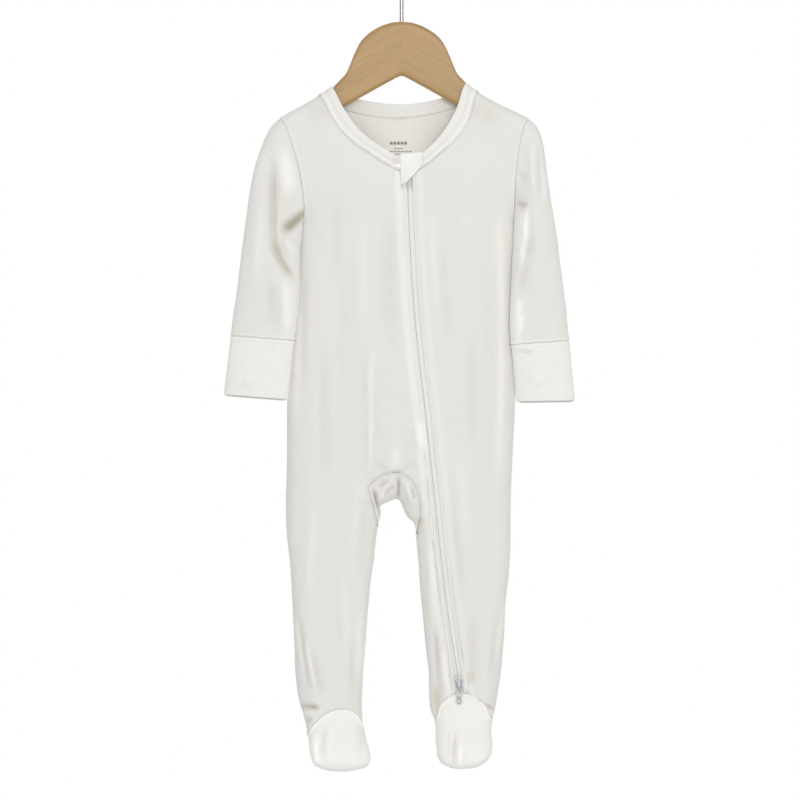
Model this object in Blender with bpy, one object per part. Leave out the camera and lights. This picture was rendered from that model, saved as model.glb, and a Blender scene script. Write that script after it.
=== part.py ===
"""A baby sleepsuit with feet and long sleeves, zipped from the neck to the left ankle, on a wooden hanger.

Blender 4.5, metres, +Z up, front facing -Y. The origin is the inner top of the hanger's hook, where a
rail bears. Left and right are the wearer's, so the right side is at -X. Tables and sizes are in
millimetres and become metres when a mesh is made.

The body, legs and feet are one hollow form: at each height it has a right and a left edge and a depth
to the front and to the back. The cut pieces are sheets laid on that form between their seams, and each
sheet becomes a wall of its cloth's thickness, pulled back half a gap from every seam.
"""

import math

import bmesh
import bpy
import numpy as np
from mathutils import Matrix, Vector, kdtree

MM = 0.001
SEAM_GAP = 0.3
CLOTH = 1.2
BAND_CLOTH = 1.8
CUFF_CLOTH = 2.0
GUARD_CLOTH = 1.5
TAPE_CLOTH = 1.0

RIDGE = 8.6  # radius of the fold of cloth over the hanger's arms
FLATNESS, FOOT_FLATNESS = 2.4, 4.0  # exponents of the section: 2 is an ellipse, more is squarer
ZIP_SLOT = 6.0  # width of zip that shows between the two fronts
TAPE_UNDERLAP = 5.0  # how far a tape runs in behind the front that it is sewn to
ZIP_GAP = 0.7  # from a front to the tape behind it, and from the tape to the coil
COIL_WIDTH = 3.4
COIL_THICKNESS = 1.2
COIL_TOP, COIL_BOTTOM = -206.0, -614.0
TAPE_TOP, TAPE_BOTTOM = -200.0, -629.0

SLIDER_HEIGHT = -623.0
SLIDER_WIDTH, SLIDER_LENGTH, SLIDER_THICKNESS = 8.4, 12.0, 1.5
SLIDER_LIFT = 0.5  # from the cloth to the back of the slider's plate
BRIDGE_WIDTH, BRIDGE_THICKNESS, BRIDGE_RISE, BRIDGE_LENGTH = 1.8, 0.9, 3.2, 8.4
BRIDGE_PLAY = 0.45  # between the bridge's inside and the pull tab's crossbar
PULL_WIDTH, PULL_WAIST, PULL_THICKNESS, PULL_LENGTH = 6.4, 4.4, 1.1, 18.5
PULL_WINDOW_WIDTH, PULL_WINDOW_LENGTH = 4.2, 7.6
PULL_EYE, PULL_RING = 1.4, 3.1  # radii of the eye and of the round end about it
PULL_LEAN = 4.0  # degrees that the foot below holds the tab off plumb

BOARD_THICKNESS = 10.0
BOARD_ROUNDING = 3.5
BOARD_CLEARANCE = 3.9  # from the shoulder line of the cloth down to the wood
BOARD_TIP = 96.0
WIRE = 1.7  # radius of the hook's wire
HOOK_RADIUS = 19.0  # of the wire's middle line
HOOK_START, HOOK_END = 215.0, -25.0  # degrees from +X
SHANK_TOP, SHANK_FOOT = -48.0, -80.0
HOLE_SLACK = 0.4

# The line of the shoulders, over the hanger.
SHOULDER = {
    "x": (-125, -102.1, -66.8, -58, -40, 0, 38, 53.5, 61.7, 106.4, 125),
    "z": (-162.2, -149.1, -128.9, -122.8, -109, -93, -107, -119.9, -126, -149.5, -159.3),
}

# Edges of the body's form. Above the underarms they lie outside the armholes.
RIGHT_EDGE = {
    "z": (-90, -150, -180, -200, -215, -234, -245, -270, -310, -350, -385, -430, -503, -520, -554,
          -587, -621, -638, -647, -657, -668, -681, -691, -700),
    "x": (-300, -180, -140, -112, -95, -82.5, -84.2, -88.2, -91.6, -94, -95.3, -95.5, -95.3, -93.2,
          -91.1, -89.5, -87.8, -85.3, -82.4, -79.6, -77.6, -75.8, -73, -72.5),
}
LEFT_EDGE = {
    "z": (-90, -150, -180, -198, -212, -230, -245, -262, -310, -350, -394, -428, -470, -520, -537,
          -554, -587, -604, -621, -638, -647, -655, -664, -675, -684, -700),
    "x": (300, 190, 150, 120, 106, 95.4, 95.4, 95.5, 95.3, 95, 94.5, 92.8, 91.1, 90.3, 88.9,
          86.9, 85.3, 83.8, 81.9, 79, 77.2, 75.2, 74.4, 75.4, 74.4, 73.5),
}
# Inner edges of the two legs. Above the crotch they cross, and the two forms melt together.
RIGHT_INSEAM = {
    "z": (-440, -455, -468, -473.8, -480.5, -489.7, -503, -520, -536.8, -553.6, -587, -621, -638,
          -654, -662, -677, -688, -700),
    "x": (6, -1, -12, -18.9, -18.1, -20.2, -22.2, -23.9, -26.5, -28.1, -30.7, -33.2, -34,
          -33.4, -33, -28.1, -26, -26.5),
}
LEFT_INSEAM = {
    "z": (-440, -455, -463, -470.4, -481, -487.2, -496, -503, -520, -545, -570, -596, -612, -638,
          -646, -654, -669, -683, -700),
    "x": (-14, -9, -5, -0.4, 3.8, 10.1, 12.8, 13.1, 14.7, 16.4, 18.9, 21.4, 23.4, 24.2,
          25.2, 28.6, 29, 30.2, 31),
}
# Depth of the form in front of and behind its middle plane, and where that plane is: the feet lean forward.
DEPTH = {
    "z": (-90, -150, -180, -215, -260, -330, -400, -450, -480, -520, -560, -600, -640, -655, -668,
          -680, -692, -700),
    "front": (8.6, 8.9, 12.6, 15, 16.5, 17, 17, 16.3, 15, 14, 13, 12.5, 12.5, 13, 13,
              12, 11, 10),
    "back": (8.6, 9.1, 11.6, 13.5, 15, 15.5, 16, 16, 15.2, 14, 13, 12.5, 13, 16, 19.5,
             19, 15, 12),
    "middle": (0, 0, 0, 0, 0, 0, 0, 0, 0, 0, 0, 0, -1.5, -6, -13.5,
               -21.5, -27, -29.5),
}
HIPS_TOP, HIPS_BOTTOM = -400.0, -470.0  # between these the torso's section turns into two legs
TOE_TOP = -664.0  # below it the foot closes towards the toe's edge

# The largest folds: each runs from x0, z0 to x1, z1 and swells (or, below zero, sinks) by height over
# a width. They fade at their ends and at the edges of the form.
FOLDS = (  # side, x0, z0, x1, z1, width, height
    (-1, -12, -225, -12, -352, 8.5, -1.7),
    (-1, -26, -330, -25, -458, 8.5, 1.8),
    (-1, -52, -262, -49, -400, 11, -1.6),
    (-1, -73, -250, -76, -330, 8, 1.2),
    (-1, 73, -214, 75, -400, 9, -1.7),
    (-1, 72, -430, 69, -585, 9, -1.4),
    (-1, 52, -220, 55, -300, 8, 1.1),
    (-1, -5, -424, -5, -446, 7, 1.8),
    (-1, 12, -470, 17, -508, 6.5, -2.2),
    (-1, -88, -545, -71, -646, 7.5, 1.7),
    (-1, -61, -500, -58, -600, 9, -1.2),
    (-1, -40, -555, -38, -640, 7, 1.2),
    (-1, 30, -585, 36, -655, 6.5, -1.3),
    (-1, 79, -552, 70, -640, 6, 1.3),
    (1, -3, -175, -2, -300, 12, -1.8),
    (1, -48, -190, -53, -330, 11, 1.7),
    (1, 51, -200, 56, -360, 10, 1.6),
    (1, 20, -300, 26, -430, 9, -1.3),
    (1, -24, -350, -34, -455, 9, 1.5),
    (1, -62, -480, -57, -610, 9, -1.3),
    (1, 56, -470, 52, -620, 8.5, 1.3),
)
SLEEVE_FOLDS = (  # side, x0, z0, x1, z1, width, height
    (-1, -104, -160, -94, -224, 8, 1.9),
    (-1, -109, -170, -110, -276, 7, -1.6),
    (-1, -101, -240, -86, -237, 8, -2.1),
    (-1, -106, -250, -92, -288, 6, -1.7),
    (-1, -97, -285, -98, -330, 6, 1.5),
    (-1, 101, -212, 101, -262, 6.5, 1.9),
    (-1, 114, -196, 111, -262, 7, 1.3),
    (-1, 111, -250, 96, -334, 6.5, -1.7),
    (-1, 104, -196, 99, -206, 5, -1.6),
    (1, -107, -180, -113, -290, 8, 1.6),
    (1, -98, -236, -99, -300, 7, -1.7),
    (1, 108, -185, 114, -300, 8, 1.6),
    (1, 102, -230, 103, -310, 7, -1.5),
)

# Rows of the fronts and the back, counted from the shoulder seam: the armholes, then the side seams.
UNDERARM_ROW = 7
ARMHOLE = {
    "right_x": (-102.1, -97.6, -93.5, -88.5, -84.8, -82.6, -81.6, -82.5),
    "right_z": (-149.1, -155.1, -167, -183, -199, -214, -225, -234),
    "left_x": (106.4, 102.5, 99.6, 97.2, 95.8, 95.3, 95.2, 95.4),
    "left_z": (-149.5, -156, -168, -183, -198, -211, -222, -230),
}
# The neck's seam and the neckband's free edge, on the same rows. One more row follows at the zip.
NECK_FRONT = {
    "right_x": (-66.8, -62.6, -57, -49, -38.5, -27, -14),
    "right_z": (-128.9, -135.1, -147, -158.5, -168.5, -176.5, -185),
    "right_edge_x": (-58, -54.5, -49, -42, -34, -24.5, -11.5),
    "right_edge_z": (-122.8, -129, -140, -150.8, -160.5, -168.3, -176.8),
    "left_x": (61.7, 58.8, 55.6, 49.5, 40.5, 31, 21.5),
    "left_z": (-126, -133.1, -146, -158.5, -169, -177.3, -185.5),
    "left_edge_x": (53.5, 50.5, 47.3, 42.2, 34, 24.6, 16.5),
    "left_edge_z": (-119.9, -126.5, -137.5, -149, -162, -172.5, -179.5),
}
NECK_FOOT, NECK_EDGE_FOOT = -193.3, -184.3  # where those two lines reach the zip
NECK_BACK = {
    "right_x": (-66.8, -60.5, -51, -40, -28, -15, -1.3),
    "right_z": (-128.9, -133.9, -138.2, -141.3, -144, -145.8, -146.7),
    "right_edge_x": (-58, -54.5, -46.5, -37, -26, -13.5, -0.5),
    "right_edge_z": (-122.8, -126.5, -129.8, -132.2, -134.3, -136.1, -136.9),
    "left_x": (61.7, 56.5, 47, 36, 24, 11, -1.3),
    "left_z": (-126, -131.9, -136.5, -140.2, -143, -145.4, -146.7),
    "left_edge_x": (53.5, 49, 41.5, 32.5, 22.5, 11.5, -0.5),
    "left_edge_z": (-119.9, -124.8, -128.5, -131.8, -134.1, -136, -136.9),
}
BACK_NECK_ROW = 6
# Heights of the rows below the underarms: at the sides, at the zip and at the middle of the back.
LEVELS = {
    "right": (-234, -243, -262, -285, -310, -338, -366, -394, -420, -437, -446),
    "left": (-230, -240, -260, -283, -309, -338, -366, -394, -420, -437, -446),
    "zip": (NECK_FOOT, -207, -230, -258, -288, -322, -356, -389, -418, -436, -446),
    "back": (-163, -182, -207, -238, -272, -310, -348, -384, -416, -436, -446),
}
ARCH_ROW = 17
# Half of the crotch's arched seam and the inside of each leg, down to the gusset's tip, with the
# gusset's own middle line.
ARCH = {
    "right_side": (-446, -451, -457, -463, -471, -479, -485, -489.7),
    "right_x": (-4, -17, -24.5, -27.3, -24.6, -22.3, -20.9, -20.2),
    "right_z": (-446, -449.6, -455, -460.3, -470, -479, -485, -489.7),
    "right_middle_x": (-4.1, -8, -11.5, -15.5, -18.9, -18.1, -18.6, -20.2),
    "right_middle_z": (-467.9, -469.2, -470.6, -472.3, -474.5, -480, -484, -489.7),
    "left_side": (-446, -451, -458, -467, -476, -484, -490, -496),
    "left_x": (-4, 5, 10.5, 13.9, 14.9, 14.6, 13.6, 12.8),
    "left_z": (-446, -450.5, -457.5, -467, -476, -484, -490, -496),
    "left_middle_x": (-4.1, -1.6, 0.8, 3.2, 6.3, 10.1, 11.7, 12.8),
    "left_middle_z": (-467.9, -469.3, -473.5, -479.5, -484.5, -487.5, -491, -496),
}
TIP_ROW = 24
LEG = {
    "right": (-489.7, -505, -525, -548, -573, -600),
    "left": (-496, -509, -528, -550, -574, -600),
}
KNEE_ROW = 29
ANKLE_STEPS = (0.3, 0.6, 0.84, 1.0)  # how far each row below has moved from level to the ankle's seam
ANKLE_ROW = 33

# Seams across each leg, from its inner edge (0) to its outer edge (1).
ACROSS = (0, 0.06, 0.16, 0.3, 0.5, 0.7, 0.82, 0.91, 1)
ANKLE_SEAM = {
    "right": (-660, -652.5, -647, -645.2, -645.4, -647.3, -649.7, -652.5, -657),
    "left": (-647, -641.8, -636.7, -632.8, -631.7, -632.3, -634.8, -639.2, -646),
}
HEEL_SEAM = {
    "right": (-660, -662, -665.5, -669.5, -671.5, -670, -666.5, -662, -657),
    "left": (-647, -650.5, -656, -662, -666.5, -665, -659, -652.5, -646),
}
TOE_EDGE = {
    "right": (-688, -692.4, -695, -696.6, -697.2, -696.8, -695.6, -694, -691.5),
    "left": (-685, -690.8, -693.6, -695.4, -696, -694.6, -692.2, -689, -683.5),
}
FOOT_ROWS = (0, 0.17, 0.34, 0.5, 0.66, 0.82, 1.0)

ZIP = {
    "z": (-194, -207.5, -293, -341, -401, -453, -512, -572, -620, -640),
    "x": (5.8, 6.3, 10.5, 14.7, 21.8, 27.3, 33.6, 41, 47.5, 50),
}

# Columns of the sheets: the right leg and its half of the body, the strip between the arch and the
# zip, and the left front. The left half of the back and the left foot have as many as these last two
# with the zip between them.
RIGHT_COLUMNS, STRIP_COLUMNS, LEFT_COLUMNS = 8, 3, 5

# Rings of the sleeves from the armhole to the cuff's seam, and on to the cuff's free edge.
SLEEVE = {
    "right_outer_x": (-102.1, -110.5, -116.3, -121.4, -125.6, -129.4, -133.1, -136.9, -140.7, -142.4,
                      -145.4, -148.3),
    "right_outer_z": (-149.1, -158.8, -171.4, -186.5, -205, -230.2, -259.6, -289, -316, -331.8,
                      -356.4, -381),
    "right_inner_x": (-82.5, -86.5, -90, -91, -89.3, -86.5, -85.3, -86.2, -88.2, -90.3,
                      -92.8, -95.3),
    "right_inner_z": (-234, -237.5, -243.5, -251.5, -260.5, -271.5, -285, -303, -321, -336,
                      -360.5, -385.1),
    "left_outer_x": (106.4, 113.8, 118, 120.3, 123, 126.5, 130.5, 134.3, 137.6, 139.9,
                     142.3, 144.6),
    "left_outer_z": (-149.5, -157, -169, -187, -206, -229, -256, -285, -314, -336,
                     -361, -386),
    "left_inner_x": (95.4, 98, 98.6, 96.6, 94.6, 93, 92.2, 91.6, 90.8, 92.3,
                     94.5, 96.6),
    "left_inner_z": (-230, -234, -241, -250, -259.5, -271, -285, -302, -321, -339.4,
                     -363, -386.8),
    "depth": (9, 9.6, 10, 10, 10, 9.8, 9.5, 9.2, 8.8, 8.5,
              8.3, 8),
    "middle": (0, -1.5, -4, -6.5, -8.5, -10, -11, -11, -11, -11,
               -11, -11),
}
CAP_RINGS = 2.5  # over these the armhole's own shape fades out of the sleeve
CUFF_RING = 9
HAND_RING = 11

# The zip guard, from its top edge to its point.
GUARD = {
    "right_x": (-1.3, -1.1, -0.8, -0.3, 0.2, 0.8),
    "left_x": (17.6, 17.4, 17.2, 13.6, 8.4, 2.4),
    "right_z": (-179.8, -184.5, -189.5, -195.5, -201, -206.2),
    "left_z": (-178.1, -183.3, -188.5, -195, -201, -206.6),
}

# The hanger's board: half of the outline over its dome, and the line under its arms.
DOME = (
    (0, -68), (8, -68.7), (16, -71.1), (23.5, -75), (30, -79.8), (35.2, -86), (39.3, -93),
    (43.2, -101), (46.8, -109.5), (49.6, -117.3), (52.2, -123),
)
BOARD_NOTCH = -111.0
BOARD_UNDER_SLOPE = 0.56
ARM_STEPS = (60, 68, 77, 86)


# ---------------------------------------------------------------- curves and the garment's form


def curve(at, knots, values):
    """A smooth curve through the knots: cubic pieces with slopes taken from the neighbouring knots."""
    at = np.asarray(at, float)
    knots = np.asarray(knots, float)
    values = np.asarray(values, float)
    if knots[0] > knots[-1]:
        knots, values = knots[::-1], values[::-1]
    slopes = np.gradient(values, knots)
    i = np.clip(np.searchsorted(knots, at) - 1, 0, len(knots) - 2)
    h = knots[i + 1] - knots[i]
    t = np.clip((at - knots[i]) / h, 0, 1)
    ends = values[i] * (1 + 2 * t) * (1 - t) ** 2 + values[i + 1] * t * t * (3 - 2 * t)
    return ends + h * (slopes[i] * t * (1 - t) ** 2 - slopes[i + 1] * t * t * (1 - t))


def smooth_step(t):
    t = np.clip(t, 0, 1)
    return t * t * (3 - 2 * t)


def mix(a, b, t):
    return a + (b - a) * t


def shoulder(x):
    """Height of the shoulder line."""
    return curve(x, SHOULDER["x"], SHOULDER["z"])


def right_edge(z):
    return curve(z, RIGHT_EDGE["z"], RIGHT_EDGE["x"])


def left_edge(z):
    return curve(z, LEFT_EDGE["z"], LEFT_EDGE["x"])


def right_inseam(z):
    return curve(z, RIGHT_INSEAM["z"], RIGHT_INSEAM["x"])


def left_inseam(z):
    return curve(z, LEFT_INSEAM["z"], LEFT_INSEAM["x"])


EDGES = {"right": (right_edge, right_inseam), "left": (left_edge, left_inseam)}


def zip_line(z):
    """Middle of the zip."""
    return curve(z, ZIP["z"], ZIP["x"])


def oval(x, z, low, high):
    """Depth, from 0 to 1, of a rounded section between two edges."""
    u = np.abs((2 * x - low - high) / (high - low))
    return np.sqrt(np.clip(1 - u ** mix(FLATNESS, FOOT_FLATNESS, smooth_step((-635 - z) / 30)), 0, 1))


def folds(x, z, side, table):
    """Height of all the folds of one side at a point. Each is a bell across and fades along."""
    total = np.zeros(np.shape(x))
    for of_side, x0, z0, x1, z1, width, height in table:
        run = ((x - x0) * (x1 - x0) + (z - z0) * (z1 - z0)) / ((x1 - x0) ** 2 + (z1 - z0) ** 2)
        off = np.hypot(x - mix(x0, x1, run), z - mix(z0, z1, run))
        fade = smooth_step((1 - np.abs(2 * run - 1)) / 0.5 + 0.1)
        total += (of_side == side) * height * fade * np.exp(-((off / width) ** 2))
    return total


def form(x, z, side, toe=0.0):
    """Points of the form's front (side -1) or back (side 1).

    The section at height z is one oval for the torso and two for the legs, which melt together over
    the hips. It rounds over the shoulder line at the top, and closes along a foot's edge, where toe is 1.
    """
    x, z, toe = np.broadcast_arrays(np.asarray(x, float), np.asarray(z, float), toe)
    torso = oval(x, z, right_edge(z), left_edge(z))
    right_leg = oval(x, z, right_edge(z), right_inseam(z))
    left_leg = oval(x, z, left_inseam(z), left_edge(z))
    legs = (right_leg**4 + left_leg**4) ** 0.25
    hips = smooth_step((HIPS_TOP - z) / (HIPS_TOP - HIPS_BOTTOM))
    over = np.clip((shoulder(x) - z) / RIDGE, 0, 1)
    closing = np.sqrt(1 - (1 - over) ** 2) * np.sqrt(1 - toe**5)
    depth = curve(z, DEPTH["z"], DEPTH["front" if side < 0 else "back"]) + folds(x, z, side, FOLDS)
    middle = curve(z, DEPTH["z"], DEPTH["middle"])
    return np.stack([x, middle + side * depth * mix(torso, legs, hips) * closing, z], -1)


def front_raised(x, z, lift):
    """Points of the front, moved out along its normal by lift."""
    step = 0.05
    point = form(x, z, -1)
    across = form(x + step, z, -1) - form(x - step, z, -1)
    along = form(x, z + step, -1) - form(x, z - step, -1)
    normal = np.cross(across, along)
    return point + lift * normal / np.linalg.norm(normal, axis=-1, keepdims=True)


# ---------------------------------------------------------------- rows and seams


def over_fold(row, first, second):
    """Between rows 0 and 1 a seam rounds the fold of the shoulder, so it starts off slowly."""
    return mix(first, second, 1 - np.cos(np.clip(row, 0, 1) * math.pi / 2))


def seam(row, xs, zs):
    """A seam that starts on the shoulder line, at a row."""
    rows = np.arange(1, len(xs))
    x = np.where(row < 1, over_fold(row, xs[0], xs[1]), curve(np.maximum(row, 1), rows, xs[1:]))
    below = over_fold(row, 0, shoulder(xs[1]) - zs[1])
    z = np.where(row < 1, shoulder(x) - below, curve(np.maximum(row, 1), rows, zs[1:]))
    return x, z


def side_heights(leg):
    """Heights of the side seam's rows, from the underarm to the knee."""
    return LEVELS[leg][:-1] + ARCH[leg + "_side"][:-1] + LEG[leg]


def side_line(row, leg):
    """The armhole's seam and below it the side seam."""
    edge = right_edge if leg == "right" else left_edge
    heights = side_heights(leg)
    z_side = curve(np.maximum(row, UNDERARM_ROW), UNDERARM_ROW + np.arange(len(heights)), heights)
    x, z = seam(np.minimum(row, UNDERARM_ROW), ARMHOLE[leg + "_x"], ARMHOLE[leg + "_z"])
    return np.where(row < UNDERARM_ROW, x, edge(z_side)), np.where(row < UNDERARM_ROW, z, z_side)


def zip_heights():
    """Heights of the rows at the zip, from the neck to the knee."""
    return LEVELS["zip"][:-1] + ARCH["left_side"][:-1] + LEG["left"]


def slot_edge(z, leg):
    """The edge of a front along the zip."""
    return zip_line(z) + (-ZIP_SLOT / 2 if leg == "right" else ZIP_SLOT / 2)


def neck_front(row, leg, edge=""):
    """The neck's front seam, or the neckband's free edge, down to the zip."""
    foot = NECK_EDGE_FOOT if edge else NECK_FOOT
    xs = NECK_FRONT[leg + edge + "_x"] + (float(slot_edge(foot, leg)),)
    return seam(row, xs, NECK_FRONT[leg + edge + "_z"] + (foot,))


def zip_edge(row, leg):
    """The neck's front seam and below it the edge of a front along the zip."""
    heights = zip_heights()
    z_zip = curve(np.maximum(row, UNDERARM_ROW), UNDERARM_ROW + np.arange(len(heights)), heights)
    x, z = neck_front(np.minimum(row, UNDERARM_ROW), leg)
    below = row >= UNDERARM_ROW
    return np.where(below, slot_edge(z_zip, leg), x), np.where(below, z_zip, z)


def back_middle(row, leg):
    """The neck's back seam and below it the middle of the back, down to the arch."""
    x, z = seam(np.minimum(row, BACK_NECK_ROW), NECK_BACK[leg + "_x"], NECK_BACK[leg + "_z"])
    heights = (NECK_BACK[leg + "_z"][-1],) + LEVELS["back"]
    z_back = curve(np.maximum(row, BACK_NECK_ROW), BACK_NECK_ROW + np.arange(len(heights)), heights)
    x_back = mix(
        NECK_BACK[leg + "_x"][-1],
        ARCH["right_x"][0],
        (row - BACK_NECK_ROW) / (ARCH_ROW - BACK_NECK_ROW),
    )
    return np.where(row < BACK_NECK_ROW, x, x_back), np.where(row < BACK_NECK_ROW, z, z_back)


def inner_line(row, leg):
    """The arch's seam from its top, then the gusset's side down to its tip."""
    rows = np.arange(ARCH_ROW, TIP_ROW + 1)
    return curve(row, rows, ARCH[leg + "_x"]), curve(row, rows, ARCH[leg + "_z"])


def leg_point(across, row, leg, seams):
    """A point of a leg below the gusset: across it from its inner edge (0) to its outer edge (1).

    Rows are level down to the knee. From there they bend to the curve of the seam across the leg.
    """
    edge, inseam = EDGES[leg]
    steps = (0,) + ANKLE_STEPS
    ends = [
        LEG[leg] + tuple(mix(LEG[leg][-1], seams[leg][k], t) for t in ANKLE_STEPS) for k in (0, -1)
    ]
    rows = np.arange(TIP_ROW, TIP_ROW + len(ends[0]))
    z_in, z_out = curve(row, rows, ends[0]), curve(row, rows, ends[1])
    share = np.interp(row, KNEE_ROW + np.arange(len(steps)), steps)
    bend = curve(across, ACROSS, seams[leg]) - mix(seams[leg][0], seams[leg][-1], across)
    z = mix(z_in, z_out, across) + share * bend
    return mix(inseam(z_in), edge(z_out), across), z, toe_closing(across, z, leg)


def toe_closing(across, z, leg):
    """0 down to the top of the toes and 1 at the foot's edge."""
    return np.clip((TOE_TOP - z) / (TOE_TOP - curve(across, ACROSS, TOE_EDGE[leg])), 0, 1)


def slot_across(row, leg):
    """How far across the left leg the edge of the right or the left front lies, at the zip."""
    across = 0.5 + 0 * np.asarray(row, float)
    for _ in range(6):
        x, z, _toe = leg_point(across, row, "left", ANKLE_SEAM)
        step = leg_point(across + 0.01, row, "left", ANKLE_SEAM)[0] - x
        across = across + (slot_edge(z, leg) - x) / step * 0.01
    return across


# ---------------------------------------------------------------- sheets


def wide(s):
    """Columns that start off slowly, at a rounded edge."""
    return 1 - np.cos(s * math.pi / 2)


def leg_part(row):
    return smooth_step((row - 15) / 6)


def between(x0, z0, x1, z1, share, row):
    """Points of a row between two lines. The first rows keep their distance below the shoulder line."""
    x = mix(x0, x1, share)
    hug = 1 - smooth_step((row - 1) / 3)
    return x, mix(z0, z1, share) + hug * (shoulder(x) - mix(shoulder(x0), shoulder(x1), share))


def panel(outer, inner, spacing, leg, side, seams, across):
    """A sheet between two lines down to the gusset's tip, and below it between two parts of a leg.

    Outer and inner give x and z for a row, spacing places the columns between them, and across gives
    how far across the leg the two sides are for a row.
    """

    def sheet(s, row):
        share = spacing(s, row)
        high = np.minimum(row, TIP_ROW)
        x, z = between(*outer(high), *inner(high), share, high)
        start, end = across(row)
        leg_x, leg_z, toe = leg_point(mix(start, end, share), np.maximum(row, TIP_ROW), leg, seams)
        low = row > TIP_ROW
        return form(np.where(low, leg_x, x), np.where(low, leg_z, z), side, np.where(low, toe, 0))

    return sheet


def whole_leg(row):
    """A panel whose columns run from the leg's outer edge to its inner edge."""
    return 1.0, 0.0


def half_spacing(s, row):
    """Columns close to the side, and in the legs close to both edges."""
    return mix(wide(s), (1 - np.cos(s * math.pi)) / 2, leg_part(row))


def arch_line(row, leg):
    """On the right front, the line down to the top of the arch and then an inner line."""
    outer, inner = side_line(row, "right"), zip_edge(row, "right")
    x0 = float(right_edge(ARCH["right_side"][0]))
    x1 = float(slot_edge(ARCH["right_side"][0], "right"))
    x, z = between(*outer, *inner, (ARCH["right_x"][0] - x0) / (x1 - x0), row)
    x_inner, z_inner = inner_line(row, leg)
    return np.where(row <= ARCH_ROW, x, x_inner), np.where(row <= ARCH_ROW, z, z_inner)


def front_right_sheets():
    """Right front: side seam to arch and the right leg, then arch to zip and the left leg's inside."""
    main = panel(
        lambda row: side_line(row, "right"), lambda row: arch_line(row, "right"),
        half_spacing, "right", -1, ANKLE_SEAM, whole_leg,
    )
    strip = panel(
        lambda row: arch_line(row, "left"), lambda row: zip_edge(row, "right"),
        lambda s, row: mix(s, wide(s), leg_part(row)), "left", -1, ANKLE_SEAM,
        lambda row: (0.0, slot_across(np.maximum(row, TIP_ROW), "right")),
    )
    return main, strip


def front_left_sheet():
    """Left front, from the zip to the side seam."""
    return panel(
        lambda row: zip_edge(row, "left"), lambda row: side_line(row, "left"),
        lambda s, row: np.sin(s * math.pi / 2), "left", -1, ANKLE_SEAM,
        lambda row: (slot_across(np.maximum(row, TIP_ROW), "left"), 1.0),
    )


def back_sheet(leg):
    """Half of the back, from a side seam to its middle, then one whole leg."""

    def inner(row):
        high, low = back_middle(np.minimum(row, ARCH_ROW), leg), inner_line(row, leg)
        return [np.where(row <= ARCH_ROW, a, b) for a, b in zip(high, low)]

    return panel(
        lambda row: side_line(row, leg), inner, half_spacing, leg, 1, HEEL_SEAM, whole_leg
    )


def gusset_sheet(s, row):
    """The gusset: s runs from its front seam (0) under the crotch to its back seam (1).

    Rows run from the right tip (-7) over the top of the arch (0) to the left tip (7). Across each row
    the sheet is half an ellipse that hangs from both seams down to the middle line.
    """
    count = np.abs(row)
    rows = np.arange(TIP_ROW - ARCH_ROW + 1)
    named = [
        np.where(row < 0, curve(count, rows, ARCH["right" + n]), curve(count, rows, ARCH["left" + n]))
        for n in ("_x", "_z", "_middle_x", "_middle_z")
    ]
    x, z, middle_x, middle_z = named
    turn = np.asarray(s, float) * math.pi
    down = np.sin(turn)
    front, back = form(x, z, -1)[..., 1], form(x, z, 1)[..., 1]
    y = np.where(s < 0.5, front, back) * np.abs(np.cos(turn))
    return np.stack(np.broadcast_arrays(mix(x, middle_x, down), y, mix(z, middle_z, down)), -1)


def foot_sheet(leg, side, columns):
    """A foot's top (side -1) or sole (side 1), from its seam with the leg to the toe's edge.

    Columns gives how far across the foot each column is, at the seam (t 0) and at the toe (t 1).
    """
    seams = ANKLE_SEAM if side < 0 else HEEL_SEAM
    edge, inseam = EDGES[leg]

    def sheet(s, t):
        down = np.sin(t * math.pi / 2)
        across = columns(s, t)
        z_in = mix(seams[leg][0], TOE_EDGE[leg][0], down)
        z_out = mix(seams[leg][-1], TOE_EDGE[leg][-1], down)
        x = mix(inseam(z_in), edge(z_out), across)
        z = mix(curve(across, ACROSS, seams[leg]), curve(across, ACROSS, TOE_EDGE[leg]), down)
        return form(x, z, side, toe_closing(across, z, leg))

    return sheet


def even_columns(s, t):
    return (1 - np.cos(s * math.pi)) / 2


def slot_columns(s, t):
    """Columns that start from those of the two fronts, beside the zip, and spread out to the toe."""
    ends = [float(slot_across(ANKLE_ROW, leg)) for leg in ("right", "left")]
    strip, left = np.linspace(0, 1, STRIP_COLUMNS + 1), np.linspace(0, 1, LEFT_COLUMNS + 1)
    starts = np.concatenate([ends[0] * wide(strip), mix(ends[1], 1, np.sin(left * math.pi / 2))])
    return mix(np.interp(s, np.linspace(0, 1, len(starts)), starts), even_columns(s, t), t)


def armhole_point(turn, leg):
    """The armhole's seam: turn runs 0 to 1 down its front and 1 to 2 up its back."""
    row = UNDERARM_ROW * np.where(turn <= 1, turn, 2 - turn)
    x, z = side_line(np.minimum(row, UNDERARM_ROW - 1e-9), leg)
    points = np.where((turn <= 1)[..., None], form(x, z, -1), form(x, z, 1))
    points[..., 1] *= np.where(np.abs(turn - 1) < 1e-6, 0, 1)
    return points


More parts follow.
